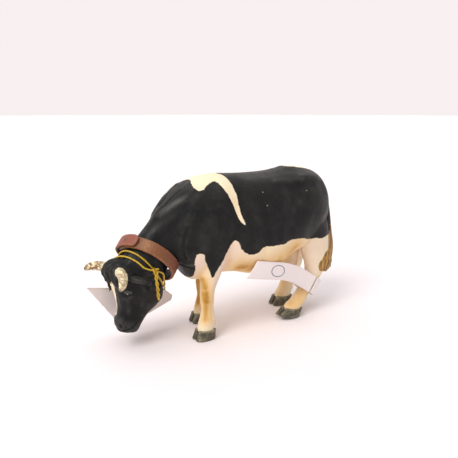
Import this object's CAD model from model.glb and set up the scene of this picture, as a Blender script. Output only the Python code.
"""Grazing cow figurine: painted hide, horns, collar, gold cord, card tag and paper label over the solids."""

import math

import bpy
import numpy as np
from bpy.props import FloatProperty, FloatVectorProperty, IntProperty, PointerProperty
from mathutils import Matrix, Vector
from mathutils.geometry import delaunay_2d_cdt


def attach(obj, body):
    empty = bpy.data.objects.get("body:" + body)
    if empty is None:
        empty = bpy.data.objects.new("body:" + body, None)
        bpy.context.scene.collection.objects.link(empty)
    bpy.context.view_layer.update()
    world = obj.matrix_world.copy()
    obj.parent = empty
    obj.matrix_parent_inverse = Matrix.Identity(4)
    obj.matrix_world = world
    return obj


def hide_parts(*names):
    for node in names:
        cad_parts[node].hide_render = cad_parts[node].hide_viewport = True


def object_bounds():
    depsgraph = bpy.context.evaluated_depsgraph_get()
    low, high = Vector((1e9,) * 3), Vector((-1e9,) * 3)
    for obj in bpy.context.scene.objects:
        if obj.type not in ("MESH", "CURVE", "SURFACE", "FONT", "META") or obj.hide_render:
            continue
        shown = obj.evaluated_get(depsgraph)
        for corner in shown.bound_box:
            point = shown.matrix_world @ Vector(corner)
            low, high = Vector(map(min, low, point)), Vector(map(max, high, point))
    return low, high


bl_info = {
    "name": "Cow figurine",
    "version": (1, 0, 0),
    "blender": (4, 5, 0),
    "location": "3D View > Sidebar > Cow",
    "description": "Makes a painted cow figurine with its collar, cord, tag and label",
    "category": "Add Mesh",
}

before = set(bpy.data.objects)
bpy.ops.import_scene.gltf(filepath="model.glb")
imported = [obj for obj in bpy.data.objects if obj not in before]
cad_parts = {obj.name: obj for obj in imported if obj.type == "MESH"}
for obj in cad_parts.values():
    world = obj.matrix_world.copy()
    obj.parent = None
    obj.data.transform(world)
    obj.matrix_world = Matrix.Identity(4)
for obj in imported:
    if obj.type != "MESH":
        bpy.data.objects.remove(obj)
CAD_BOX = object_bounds()

MM = 0.001
SHIFT = np.array([9.4653, 0.0, 0.0])  # from the layout of the station tables to the frame's origin
CHEST = 28.0  # underside of the chest
GAP = 0.3

# The photograph's camera.
CAMERA_PLACE = (-0.1377, -0.2246, 0.1072)
CAMERA_RIGHT = (0.8462, -0.5329, 0.0)
CAMERA_UP = (0.1153, 0.1831, 0.9763)
CAMERA_LENS = 44.02
CAMERA_SENSOR = 36.0

# Stage: a lamp is its name, the way it shines, its spread in degrees and its tint.
LAMPS = (
    ("key", (0.66, 0.3, -0.7), 30, (1.0, 0.985, 0.96)),
    ("top", (0.1, 0.1, -0.97), 60, (0.97, 0.98, 1.0)),
)
BACKDROP_WAY = (-0.53, 0.72, 0.45)  # towards the bright side of the room
FLOOR_RADIUS = 6000.0
FLOOR_LEVEL = -0.02
FLOOR_CORNERS = 64

# A station is top x, top z, bottom x, bottom z, half width, height of the widest place, squareness.
NECK_SEAM = (-54.9, CHEST + 20.2, -40.0, CHEST + 6.6, 8.2, 0.5, 2.0)
TORSO_STATIONS = (
    (-52.0, CHEST + 23.4, -37.3, CHEST + 8.0, 8.2, 0.5, 2.0),
    (-47.2, CHEST + 28.6, -33.6, CHEST + 5.4, 9.2, 0.5, 2.0),
    (-40.3, CHEST + 36.8, -30.8, CHEST + 1.2, 12.6, 0.5, 2.1),
    (-34.9, CHEST + 42.1, -27.4, CHEST - 1.0, 14.6, 0.48, 2.2),
    (-26.7, CHEST + 46.2, -23.0, CHEST - 0.4, 16.0, 0.46, 2.3),
    (-16.0, CHEST + 48.0, -16.0, CHEST + 0.6, 17.0, 0.45, 2.3),
    (-5.7, CHEST + 47.6, -7.0, CHEST + 0.2, 18.2, 0.44, 2.4),
    (5.0, CHEST + 47.3, 4.0, CHEST - 2.4, 19.4, 0.44, 2.4),
    (17.0, CHEST + 47.6, 16.0, CHEST - 1.2, 19.97, 0.46, 2.4),
    (29.0, CHEST + 49.0, 28.0, CHEST + 4.5, 18.6, 0.5, 2.3),
    (37.6, CHEST + 48.2, 38.0, CHEST + 8.5, 16.6, 0.52, 2.2),
    (45.2, CHEST + 45.0, 45.2, CHEST + 13.5, 13.8, 0.52, 2.1),
    (48.4, CHEST + 38.2, 49.6, CHEST + 19.5, 10.2, 0.52, 2.0),
    (51.6, CHEST + 33.0, 51.6, CHEST + 26.5, 4.2, 0.5, 2.0),
)
HEAD_STATIONS = (
    NECK_SEAM,
    (-58.6, CHEST + 17.2, -41.5, CHEST + 2.5, 8.0, 0.5, 2.0),
    (-62.4, CHEST + 13.6, -42.4, CHEST - 1.0, 7.8, 0.5, 2.0),
    (-66.4, CHEST + 12.6, -42.2, CHEST - 4.0, 7.7, 0.55, 2.1),
    (-68.8, CHEST + 9.6, -43.0, CHEST - 7.4, 7.5, 0.6, 2.2),
    (-66.9, CHEST + 3.8, -46.4, CHEST - 10.6, 7.0, 0.62, 2.2),
    (-65.0, CHEST - 3.0, -50.0, CHEST - 13.2, 5.9, 0.6, 2.2),
    (-64.0, CHEST - 9.4, -52.8, CHEST - 16.6, 5.0, 0.55, 2.2),
    (-65.4, CHEST - 15.4, -54.5, CHEST - 18.8, 5.2, 0.5, 2.3),
    (-64.2, CHEST - 19.2, -55.6, CHEST - 20.6, 3.9, 0.5, 2.3),
)

# Legs: a station is x, y, z, half length, half width.
HOOF_HEIGHT = 5.4
HOOF_RIM = 4.7  # height of the rim, where the hair starts
FORE_HOOF_HALF = 4.8
HIND_HOOF_HALF = 5.7
FORE_HOOF_SLIM = 0.86  # width of a hoof as a share of its length
HIND_HOOF_SLIM = 0.76
CLAW_SIDES = 36
# Levels of a claw, as shares of the rim's height, and the size of the claw at each.
CLAW_HEIGHTS = (0.0, 0.03, 0.1, 0.26, 0.48, 0.7, 0.86, 0.94, 1.0, 1.03)
CLAW_SIZES = (0.84, 0.94, 1.0, 0.99, 0.95, 0.9, 0.88, 0.91, 0.89, 0.78)
FORE_Y = 10.3
HIND_Y = 9.5
NEAR_FORE_X = -25.8
FAR_FORE_X = -16.6
NEAR_HIND_X = 24.0
FAR_HIND_X = 33.6
FAR_RAKE = 0.5
TOE_LIFT = math.radians(9)

UDDER_STATIONS = (
    (25.5, 0.0, CHEST - 7.4, 5.5, 4.6),
    (25.5, 0.0, CHEST - 5.6, 8.2, 6.4),
    (25.5, 0.0, CHEST - 1.0, 9.8, 7.8),
    (25.5, 0.0, CHEST + 6.0, 10.4, 8.0),
    (25.5, 0.0, CHEST + 9.0, 8.6, 6.0),
)
# Rods: a station is x, y, z, half wide, half thick.
TAIL_STATIONS = (
    (44.5, 0.0, CHEST + 43.8, 1.5, 1.2),
    (49.8, -0.6, CHEST + 39.4, 2.0, 1.6),
    (52.8, -2.4, CHEST + 30.6, 2.0, 1.6),
    (53.4, -4.6, CHEST + 19.0, 2.0, 1.6),
    (51.2, -7.8, CHEST + 10.0, 2.4, 1.6),
    (46.6, -11.8, CHEST + 3.2, 4.2, 1.7),
    (44.4, -13.2, CHEST - 2.0, 4.4, 1.6),
    (43.8, -13.6, CHEST - 5.4, 2.0, 1.0),
)
SWITCH_START = 3.2  # station of the tail at which the long hair starts
SWITCH_SIDES = 72
NEAR_HORN = (
    (-64.0, -3.2, CHEST + 8.6, 2.0, 2.0),
    (-64.4, -6.4, CHEST + 9.2, 2.1, 2.2),
    (-64.6, -9.8, CHEST + 8.0, 2.1, 2.0),
    (-65.8, -12.0, CHEST + 5.4, 1.6, 1.6),
    (-67.2, -12.6, CHEST + 3.2, 0.7, 0.7),
)
FAR_HORN = (
    (-64.6, 3.2, CHEST + 8.6, 2.2, 2.2),
    (-67.0, 6.0, CHEST + 9.4, 2.2, 2.2),
    (-69.6, 9.0, CHEST + 9.6, 2.1, 2.0),
    (-72.0, 11.6, CHEST + 8.8, 1.7, 1.6),
    (-73.8, 13.0, CHEST + 7.4, 0.8, 0.8),
)
NEAR_EAR = (
    (-60.4, -5.8, CHEST + 6.4, 1.6, 1.3),
    (-59.8, -8.2, CHEST + 6.5, 2.5, 1.6),
    (-57.6, -11.6, CHEST + 6.2, 3.0, 1.5),
    (-54.0, -14.8, CHEST + 5.0, 1.1, 0.9),
)
FAR_EAR = (
    (-61.0, 5.8, CHEST + 6.1, 1.5, 1.3),
    (-61.6, 8.2, CHEST + 6.1, 2.1, 1.5),
    (-60.4, 11.6, CHEST + 6.2, 2.6, 1.4),
    (-57.8, 14.8, CHEST + 5.4, 1.1, 0.9),
)

HORN_SIDES = 40
# Eyes: the place to look for the near one, which is mirrored for the far one, and their half sizes.
EYE_PLACE = (-52.8, -8.5, 27.1)
EYE_UP = (-0.3, 0, 1)
EYE_HALF_LONG = 1.95
EYE_HALF_TALL = 1.6
EYE_LINE_RADIUS = 0.32

# Locks of hair that hang over the forehead, in the frame's own places.
FORELOCKS = (
    (
        (-58.0, 1.6, 38.6, 0.8, 0.7),
        (-58.9, 2.0, 36.2, 0.9, 0.7),
        (-58.4, 2.2, 33.6, 0.8, 0.6),
        (-58.6, 2.0, 31.6, 0.3, 0.3),
    ),
    (
        (-57.2, 2.8, 38.0, 0.8, 0.7),
        (-58.0, 3.2, 34.6, 0.9, 0.7),
        (-57.0, 3.0, 31.0, 0.8, 0.6),
        (-57.5, 2.6, 28.6, 0.3, 0.3),
    ),
    (
        (-56.6, 4.0, 37.0, 0.8, 0.7),
        (-56.8, 4.3, 33.6, 0.9, 0.7),
        (-56.2, 3.6, 29.4, 0.8, 0.6),
        (-56.9, 2.8, 26.4, 0.3, 0.3),
    ),
    (
        (-58.0, -0.8, 38.6, 0.8, 0.7),
        (-58.9, -0.9, 36.0, 1.0, 0.7),
        (-58.2, -0.6, 33.6, 0.6, 0.5),
        (-57.8, -0.3, 32.0, 0.3, 0.3),
    ),
)

# Cord, in the places that its solids have.
CORD_DIAMETER = 0.8
TURN_PITCH = CORD_DIAMETER + 1.12
STRAND_PITCH = CORD_DIAMETER + 0.48
CORD_RISE = 1.85 * GAP + CORD_DIAMETER / 2
CORD_START = 1.5
CORD_TILT = 0.9
CORD_RAISE = 0.65
NECK_TURNS = 2
KNOT_ANGLE = math.radians(91.5)
KNOT_HALF = np.array([1.5, 1.3, 1.9])
KNOT_OUT = CORD_RISE + CORD_DIAMETER / 2 + GAP + KNOT_HALF[1]
KNOT_CLEAR = 0.052  # turns of the neck that the cord keeps clear on each side of the knot
KNOT_CLIMB = 0.07  # turns over which it climbs to the knot
CORD_POINTS = 24  # points of the route in one turn
CORD_TAIL_LENGTH = 11.0
CORD_SIDES = 15
CORD_STEP = 0.11

# Collar.
COLLAR_WIDTH = 5.7
COLLAR_THICKNESS = 1.3
COLLAR_BORE = 12.3
COLLAR_OVERLAP = 52.0
LAP_PLAY = 0.45  # air between the lapped ends
COLLAR_LIFT = COLLAR_THICKNESS + LAP_PLAY
LAP_END = 28.0
LAP_START = LAP_END - COLLAR_OVERLAP
STRAP_ROUND = 0.34  # radius of the strip's edges
TONGUE = 2.4  # length of the rounded end
# Degrees along the strap over which it climbs onto its own start, and over which it turns redder.
STRAP_CLIMB = (316, 354)
STRAP_REDDENS = (352, 366)
# Degrees round the neck at which the leather is rubbed, has a sheen or is redder, and how far that spreads.
RUBBED_AT = (44, 13)
SHEEN_AT = (80, 26)
REDDER_AT = (118, 20)
RIVET_FOOT = 0.7  # radii of the rivet
RIVET_HEAD = 1.1
RIVET_DOME = 0.26

# Tag and label.
CARD_THICKNESS = 0.4
TAG_TOP = 38.1
TAG_DROP = 19.6
TAG_HOLE_RADIUS = 1.5
TAG_HOLE_DROP = 2.7
TAG_LEAF_GAP = 0.5
TAG_FOLD = np.array([-54.2, 13.4, CHEST - 4.7])
TAG_LEFT = -19.2
FOLD_HALF = 0.17  # half the air at the fold
# A leaf of the tag, from the hole's middle: along the fold and down.
TAG_OUTLINE = (
    (TAG_LEFT, 0.12),
    (TAG_LEFT + TAG_TOP, 0.12),
    (TAG_TOP - 13.8, 3.4),
    (TAG_TOP - 13.9, 5.9),
    (0.8, TAG_DROP),
)
LABEL_WIDTH = 8.8
LABEL_THICKNESS = 0.4
LABEL_FLAG = 46.2
LABEL_SLACK = 0.9
LABEL_STATION = 4.9  # station of the leg at which the label sits
LABEL_RAISE = 0.8
LABEL_WRAP = 352.0
BAND_AXIS = (0.56, 0, 0.83)  # across the strip, at the leg and at the far end
FLAG_AXIS = (0.2, 0, 0.98)
FLAG_STEPS = 45
FLAG_LEAN = 4.0
FLAG_SLANT = 4.5
FLAG_CURL = 0.35
# The oval line on the label's flag: its distance from the leg, its half sizes, and a value off the line.
OVAL_PLACE = 27.8
OVAL_HALF_LONG = 4.6
OVAL_HALF_WIDE = 3.0
OVAL_FAR = 9.0

# Rounds of smoothing: of the melted hide, where its forms join, after the relief and of its bends.
MELT_ROUNDS = 8
JUNCTION_ROUNDS = 70
RELIEF_ROUNDS = 2
BEND_ROUNDS = 5
BOX_MARGIN = 0.02
RIDGE_BEND = 0.012  # bends that count as a full ridge and as a full crease
CREASE_BEND = 0.014
UDDER_LINE = ((28, 0, 23), (42, 0, 23), (42, 0, 30))
UDDER_RADIUS = 8.5

# Sculpted relief on both sides of the body, in millimetres of the frame: points, radius, height.
PAIRED_RELIEF = (
    (((38.5, 12.6, 72.8), (43.0, 12.0, 72.6), (48.5, 10.6, 72.2)), 2.4, 0.8),
    (((22.0, 12.2, 71.7), (28.0, 12.6, 71.6), (32.5, 12.9, 71.7), (36.5, 13.2, 72.2)), 1.9, 0.55),
    (((29.0, 15.6, 67.8), (34.0, 14.8, 69.2), (43.0, 14.8, 69.2)), 2.2, -0.5),
    (((35.5, 2.6, 76.6), (39.5, 2.6, 76.8)), 1.5, 0.35),
    (((31.0, 17.5, 66.5), (30.0, 18.5, 58.0)), 6.0, -1.1),
    (((36.0, 8.0, 76.0), (24.0, 7.0, 75.5), (8.0, 7.0, 74.5)), 3.0, -0.35),
    (((58.0, 5.0, 63.5), (56.0, 7.5, 62.0)), 2.6, 0.5),
    (((50.0, 12.0, 66.0), (55.0, 9.0, 56.0)), 3.6, -0.6),
    (((46.0, 15.5, 58.0), (47.5, 14.0, 46.0)), 6.5, 0.5),
    (((26.0, 17.5, 48.0), (30.5, 15.5, 40.0), (33.0, 13.0, 33.0)), 3.4, -1.0),
    (((36.5, 16.5, 50.0), (38.0, 14.5, 38.0)), 4.0, 0.5),
    (((52.5, 12.8, 52.0), (54.5, 10.8, 40.0), (54.5, 11.0, 30.0)), 1.6, -0.45),
    (((-6.0, 11.0, 73.0), (-12.0, 15.0, 62.0), (-18.5, 14.5, 46.0)), 4.6, 0.8),
    (((-2.0, 16.5, 64.0), (-4.0, 17.8, 52.0), (-6.0, 16.0, 40.0)), 4.0, -0.8),
    (((-19.0, 12.5, 60.0), (-23.0, 12.5, 52.0), (-24.0, 11.5, 46.0)), 3.2, -0.6),
    (((-22.5, 10.5, 42.0), (-21.0, 11.5, 39.0)), 3.6, 0.8),
    (((-12.0, 14.8, 50.0), (-10.5, 14.0, 38.0)), 3.6, 0.5),
    (((-9.0, 14.0, 35.0), (-8.5, 12.8, 29.5)), 2.6, 0.7),
    (((-4.5, 15.0, 36.0), (-5.5, 12.0, 29.0)), 2.2, -0.5),
    (((-20.5, 7.2, 70.6), (-25.0, 8.8, 67.2), (-30.6, 5.9, 63.6), (-34.8, 3.2, 59.8)), 1.9, 0.8),
    (((-22.8, 3.9, 71.2), (-25.8, 3.1, 69.5), (-29.2, 1.9, 66.5), (-31.9, 1.5, 63.6)), 1.1, -0.75),
    (((-25.5, 0.0, 70.2), (-31.0, 0.0, 64.8), (-36.5, 0.0, 58.4), (-41.0, 0.0, 53.0)), 1.3, 0.45),
    (((-24.0, 10.4, 62.0), (-31.0, 10.0, 56.0), (-37.0, 8.0, 49.5)), 3.0, -0.55),
    (((-25.7, 12.7, 54.5), (-27.1, 12.2, 50.1), (-27.3, 10.6, 44.5), (-26.0, 10.4, 40.5)), 0.8, -0.35),
    (((-26.6, 6.6, 36.6), (-24.0, 9.4, 35.6), (-22.2, 11.4, 35.8)), 0.8, -0.45),
    (((-24.4, 8.6, 37.4), (-22.6, 11.0, 37.4)), 0.9, 0.35),
    (((6.0, 18.6, 62.0), (8.0, 18.9, 46.0), (7.0, 16.0, 34.0)), 3.2, 0.3),
    (((16.0, 19.4, 60.0), (18.0, 19.4, 46.0), (17.0, 17.0, 35.0)), 3.4, 0.2),
    (((11.0, 19.0, 61.0), (13.0, 19.2, 46.0), (12.0, 16.5, 34.0)), 2.2, -0.25),
    (((20.0, 12.0, 29.5), (28.0, 13.0, 32.0), (33.0, 12.0, 36.0)), 2.4, -0.4),
    # face
    (((-56.8, 4.4, 31.5), (-54.2, 6.2, 30.6), (-51.5, 7.0, 29.4)), 1.15, 0.75),
    (((-53.0, 6.0, 27.3),), 2.0, -0.5),
    (((-55.0, 5.2, 24.8), (-52.5, 6.6, 24.9), (-50.4, 7.0, 26.2)), 0.8, 0.35),
    (((-52.0, 6.3, 23.5), (-51.8, 5.4, 18.0)), 1.0, 0.4),
    (((-48.2, 6.4, 21.5), (-48.6, 5.2, 16.0)), 1.8, -0.5),
    (((-43.5, 7.2, 27.0), (-43.8, 6.6, 22.0)), 3.6, 0.7),
    (((-41.0, 7.0, 31.0), (-37.6, 6.0, 28.0)), 1.0, -0.4),
    (((-56.2, 1.6, 30.0), (-55.2, 1.4, 20.0)), 1.6, -0.3),
    (((-54.6, 3.8, 14.0), (-52.6, 4.6, 12.4)), 2.0, 0.5),
    (((-49.4, 4.9, 13.2), (-47.6, 4.2, 12.0)), 1.6, 0.35),
    (((-55.3, 3.7, 12.6), (-54.7, 4.3, 12.0)), 0.75, -1.0),
    (((-56.0, 3.2, 13.8), (-54.4, 4.8, 13.5), (-53.8, 4.9, 12.2)), 0.6, 0.35),
    (((-56.4, 0.0, 10.4), (-54.6, 3.8, 9.7), (-51.0, 4.9, 10.8), (-48.2, 4.9, 12.6)), 0.5, -0.55),
    # folds behind the ear and the jaw
    (((-45.4, 7.8, 35.6), (-42.6, 8.0, 34.0), (-38.4, 7.6, 33.4)), 0.8, -0.55),
    (((-44.4, 8.0, 37.0), (-41.0, 8.1, 35.8)), 1.1, 0.5),
    (((-46.8, 8.0, 33.2), (-44.0, 7.8, 30.6), (-43.0, 7.6, 28.6)), 0.7, -0.4),
    (((-48.2, 8.0, 38.8), (-44.0, 8.2, 38.8)), 1.2, 0.35),
)

OUTLINE_STEPS = 4  # points on the curve between two corners of an outline
COAT_REACH = 9.0  # the distance to the edge of the cream paint is kept within this
# Coat: outlines of the cream paint on each side in x and z.
NEAR_CREAM = (
    (-25.0, -5.0), (-24.6, 12.0), (-24.2, 25.0), (-20.4, 29.4), (-20.8, 32.4), (-21.2, 35.1), (-22.4, 38.0),
    (-22.5, 40.6), (-21.8, 42.4), (-20.1, 42.8), (-18.7, 41.8), (-18.1, 39.4), (-16.8, 37.0), (-15.8, 34.8),
    (-15.0, 32.7), (-14.1, 30.5), (-13.1, 30.8), (-12.1, 32.7), (-11.0, 34.7), (-9.8, 36.6), (-8.3, 38.4),
    (-7.3, 41.2), (-6.3, 43.2), (-5.4, 45.2), (-3.8, 46.6), (-2.6, 46.7), (-1.4, 45.3), (-0.5, 43.1),
    (1.0, 41.3), (2.9, 40.0), (5.1, 39.3), (7.1, 39.5), (9.2, 40.4), (10.3, 41.8), (11.9, 42.4),
    (15.1, 42.3), (18.9, 42.4), (23.0, 42.5), (25.2, 43.5), (28.2, 43.8), (32.5, 43.5), (36.3, 43.2),
    (40.2, 41.8), (44.0, 41.3), (46.5, 41.5), (49.9, 40.9), (53.3, 41.3), (56.2, 41.8), (75.0, 41.8),
    (75.0, -5.0),
)
FAR_CREAM = (
    (-25.0, -5.0), (-24.6, 12.0), (-24.2, 25.0), (-19.9, 28.6), (-15.0, 33.0), (-11.0, 41.0), (-6.0, 46.5),
    (-1.0, 45.0), (4.0, 39.0), (9.0, 36.8), (15.0, 38.2), (20.0, 44.5), (24.0, 50.0), (28.0, 50.5),
    (32.0, 46.0), (37.0, 40.2), (43.0, 38.0), (49.0, 39.8), (57.0, 40.7), (75.0, 40.7), (75.0, -5.0),
)
# The patch over the withers, in x and in degrees round the barrel from the spine to the near side.
WITHERS_PATCH = (
    (-17.9, 2.6), (-19.2, 11.5), (-19.8, 19.6), (-19.0, 23.4), (-17.7, 25.8), (-15.6, 25.7), (-13.8, 22.5),
    (-11.7, 20.4), (-9.5, 19.6), (-8.4, 23.3), (-7.6, 28.3), (-6.7, 33.5), (-5.4, 38.1), (-4.5, 43.3),
    (-3.4, 49.1), (-2.8, 55.5), (-1.9, 63.9), (-0.8, 70.5), (0.3, 75.5), (1.4, 77.7), (1.1, 72.6),
    (0.1, 65.0), (-0.4, 57.8), (-0.8, 50.0), (-0.8, 44.1), (-1.0, 38.7), (-1.7, 34.1), (-1.8, 29.3),
    (-2.3, 22.7), (-2.6, 14.6), (-3.2, 6.4), (-3.7, 2.2), (-2.6, -8.0), (-3.0, -22.0), (-6.0, -38.0),
    (-8.0, -56.0), (-11.0, -66.0), (-14.5, -62.0), (-17.0, -48.0), (-20.0, -36.0), (-21.0, -22.0),
    (-18.6, -8.0),
)
BARREL_CENTRE = 50.0
BARREL_SCALE = 0.36  # millimetres of skin in one degree round the barrel
# Seen from above: x and y.
RUMP_LOWEST = 56.0
RUMP_PATCH = (
    (38.6, -1.8), (39.7, -2.8), (41.5, -4.4), (45.8, -4.6), (50.5, -4.0), (55.0, -2.5), (56.5, 2.0),
    (55.5, 7.0), (52.0, 11.5), (46.0, 13.5), (41.0, 11.0), (38.0, 6.0), (37.6, 1.0),
)
# Seen from the front: y and z.
BLAZE_BACK = -50.0
BLAZE = (
    (-1.1, 32.7), (-2.5, 31.1), (-1.6, 28.4), (-0.8, 25.3), (0.5, 21.5), (1.4, 18.0), (1.0, 16.4),
    (2.4, 15.6), (3.2, 18.0), (3.5, 22.0), (3.8, 26.0), (3.2, 29.6), (2.2, 32.2), (0.6, 33.4),
)
# Painted by airbrush on the cream: points of a line, radius and strength.
OCHRE_LINES = (
    (((-17.8, -11.4, 29.0), (-17.2, -12.2, 25.5)), 3.2, 1.0),
    (((-17.0, -12.6, 23.0), (-16.6, -12.9, 19.0)), 3.4, 1.0),
    (((-16.8, -12.8, 17.0), (-17.0, -12.8, 10.5)), 3.2, 0.85),
    (((-20.6, -9.6, 27.0), (-20.6, -10.0, 12.0)), 2.8, 0.8),
    (((-15.6, -10.0, 34.0), (-17.6, -11.0, 30.0)), 3.4, 0.6),
    (((-9.6, 9.5, 26.0), (-9.6, 9.5, 11.0)), 4.6, 1.0),
    (((40.6, -12.4, 13.0), (37.6, -12.6, 8.4), (34.0, -11.4, 7.0)), 4.6, 0.62),
    (((44.0, -8.0, 11.0), (46.0, -8.0, 16.0)), 2.6, 0.6),
    (((46.0, 9.0, 19.0), (41.0, 7.6, 13.0), (37.6, 7.0, 7.0)), 4.2, 0.7),
    (((2.0, -13.0, 31.0), (13.0, -13.0, 32.0), (22.0, -14.0, 35.5), (31.0, -14.0, 39.0)), 7.0, 0.85),
    (((6.0, 9.0, 29.0), (20.0, 9.0, 31.0)), 8.0, 0.6),
    (((-22.4, -6.0, 32.0),), 3.0, 0.3),
    (((34.0, -5.0, 30.0), (38.0, -4.0, 33.0)), 3.0, 0.95),
    (((-23.0, -4.0, 31.0), (-24.5, 2.0, 33.0)), 3.0, 0.5),
)
# Where the cream has a pink cast: points of a line, radius and strength.
BLUSH_LINES = (
    (((-20.5, -12.8, 40.0), (-21.5, -11.0, 33.0)), 4.5, 1.0),
    (((-3.5, -15.5, 44.0), (-9.0, -14.0, 33.0), (-10.5, -12.8, 28.0)), 4.2, 0.9),
    (((50.0, -13.5, 38.0), (42.0, -14.0, 34.0), (44.0, -12.0, 26.0)), 6.0, 0.6),
    (((-15.0, -12.6, 8.0),), 3.0, 0.5),
)
# Where the dark paint is dry-brushed or rubbed: points of a line, radius and strength.
RUBBED_LINES = (
    (((-19.6, -1.8, 73.2), (-22.3, -3.0, 71.8)), 1.7, 0.9),
    (((-25.0, -8.8, 67.2), (-27.4, -7.9, 65.8), (-30.6, -5.9, 63.6), (-33.8, -4.0, 60.6)), 1.5, 1.0),
    (((-26.2, 0.0, 69.5), (-31.0, 0.8, 64.4), (-36.3, 1.0, 58.2), (-41.3, -0.7, 52.6)), 1.7, 0.6),
    (((-23.2, -10.2, 66.6), (-19.5, -10.6, 68.3)), 1.8, 0.5),
    (((10.0, -6.0, 74.2), (20.6, -6.0, 74.6), (30.0, -7.5, 74.4), (40.0, -9.0, 74.8)), 4.2, 0.55),
    (((44.0, -8.0, 74.6), (50.5, -6.5, 72.6)), 3.0, 0.7),
    (((33.4, -17.6, 61.7),), 2.3, 1.1),
    (((29.1, -18.2, 58.1),), 1.5, 0.45),
    (((42.3, -18.1, 56.8), (40.2, -18.3, 51.2)), 1.2, 0.2),
    (((54.4, -13.7, 54.9), (52.2, -14.0, 49.1), (49.9, -15.0, 45.2)), 1.2, 0.15),
    (((-5.2, -16.4, 54.3), (-5.6, -16.4, 50.6)), 1.5, 0.3),
    (((-49.6, -9.6, 36.3), (-46.9, -12.0, 35.5)), 0.8, 1.0),
    (((-43.6, -7.4, 34.2), (-40.5, -7.4, 34.4)), 0.9, 0.5),
    (((-47.0, -5.6, 41.0), (-44.4, -6.4, 41.8)), 1.6, 0.5),
    (((-24.6, -9.0, 36.6), (-22.6, -11.4, 36.6)), 0.6, 0.5),
)
# Specks of white paint: their places, and the radii at which they start and end to fade.
FLECK_CORE = 0.1
FLECK_EDGE = 0.25
FLECKS = ((38.1, -16.3, 66.6), (12.9, -14.9, 67.6), (13.6, -17.7, 61.7), (-24.6, -12.6, 58.8))
# The pale line painted under the near eye.
EYE_LINE = (
    (-53.7, -5.0, 26.5), (-53.0, -5.6, 25.9), (-52.3, -6.0, 26.1), (-51.95, -6.3, 27.0), (-52.1, -6.65, 28.1),
)


def srgb(red, green, blue):
    """Linear colour from values of 0 to 255 as a screen shows them."""
    parts = []
    for value in (red, green, blue):
        share = value / 255
        parts.append(share / 12.92 if share <= 0.04045 else ((share + 0.055) / 1.055) ** 2.4)
    return tuple(parts)


def colour_property(name, description, rgb):
    return FloatVectorProperty(
        name=name, description=description, subtype="COLOR", size=3, min=0.0, max=1.0, default=srgb(*rgb)
    )


class CowCoat(bpy.types.PropertyGroup):
    black: colour_property("Black", "Paint of the dark coat", (12, 12, 13))
    black_light: colour_property("Dry-brushed black", "Lighter paint on the dark coat", (104, 104, 98))
    cream: colour_property("Cream", "Paint of the pale coat", (246, 230, 198))
    ochre: colour_property("Ochre", "Airbrushed shade on the legs and the belly", (226, 172, 78))
    umber: colour_property("Umber", "Darkest of the airbrushed shade", (140, 88, 22))
    blush: colour_property("Blush", "Pink cast on the flanks", (238, 214, 198))
    udder: colour_property("Udder", "Paint of the udder and teats", (236, 190, 148))
    eye: colour_property("Eye", "Paint of the eyes", (12, 10, 10))
    eye_line: colour_property("Eye line", "Pale line under the eye", (196, 204, 208))
    voxel: FloatProperty(
        name="Mesh size",
        description="Size of the faces of the hide",
        default=0.00042,
        min=0.0003,
        max=0.002,
        subtype="DISTANCE",
    )
    hair_depth: FloatProperty(
        name="Hair depth",
        description="Depth of the modelled hair",
        default=0.00009,
        min=0.0,
        max=0.001,
        subtype="DISTANCE",
    )


class CowHorny(bpy.types.PropertyGroup):
    horn: colour_property("Horn", "Paint of the horns", (243, 229, 190))
    horn_brown: colour_property("Horn wash", "Brown wash in the lines of the horns", (122, 84, 38))
    horn_tip: colour_property("Horn tip", "Dark tip of the horns", (58, 40, 24))
    hoof: colour_property("Hoof", "Paint of the hooves", (66, 62, 46))
    hoof_light: colour_property("Dry-brushed hoof", "Lighter paint on the hooves", (156, 146, 118))
    tail_gold: colour_property("Tail hair", "Light strands of the tail", (192, 146, 78))
    tail_brown: colour_property("Tail shade", "Dark strands of the tail", (96, 66, 28))


class CowCollar(bpy.types.PropertyGroup):
    leather: colour_property("Leather", "Main colour of the leather", (112, 62, 32))
    patches: colour_property("Darker leather", "Darker patches of the leather", (84, 44, 27))
    worn: colour_property("Worn leather", "Colour where the leather has rubbed", (172, 122, 74))
    flap: colour_property("Flap", "Redder colour of the lapped end", (142, 78, 62))
    inside: colour_property("Flesh side", "Colour of the inside and the cut end", (42, 26, 20))
    metal: colour_property("Rivet", "Colour of the rivet", (150, 112, 92))
    scuffs: colour_property("Scuffs", "Scuffed places of the rivet", (96, 66, 52))
    grain_depth: FloatProperty(
        name="Grain depth",
        description="Depth of the leather's grain",
        default=0.00005,
        min=0.0,
        max=0.001,
        subtype="DISTANCE",
    )


class CowCord(bpy.types.PropertyGroup):
    gold: colour_property("Gold", "Bright strands of the cord", (255, 212, 58))
    shade: colour_property("Shade", "Between the strands", (74, 44, 4))
    lay: FloatProperty(
        name="Lay",
        description="Length of one twist of the strands",
        default=0.0021,
        min=0.0005,
        max=0.01,
        subtype="DISTANCE",
    )
    plies: IntProperty(name="Plies", description="Strands twisted together", default=3, min=2, max=5)


class CowPaper(bpy.types.PropertyGroup):
    card: colour_property("Card", "Card of the folded tag", (244, 232, 228))
    card_edge: colour_property("Card edge", "Worn fold of the tag", (196, 164, 130))
    ink: colour_property("Ink", "Plain oval line printed on the label", (104, 108, 132))
    paper: colour_property("Paper", "Paper of the leg label", (247, 236, 234))


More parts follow.
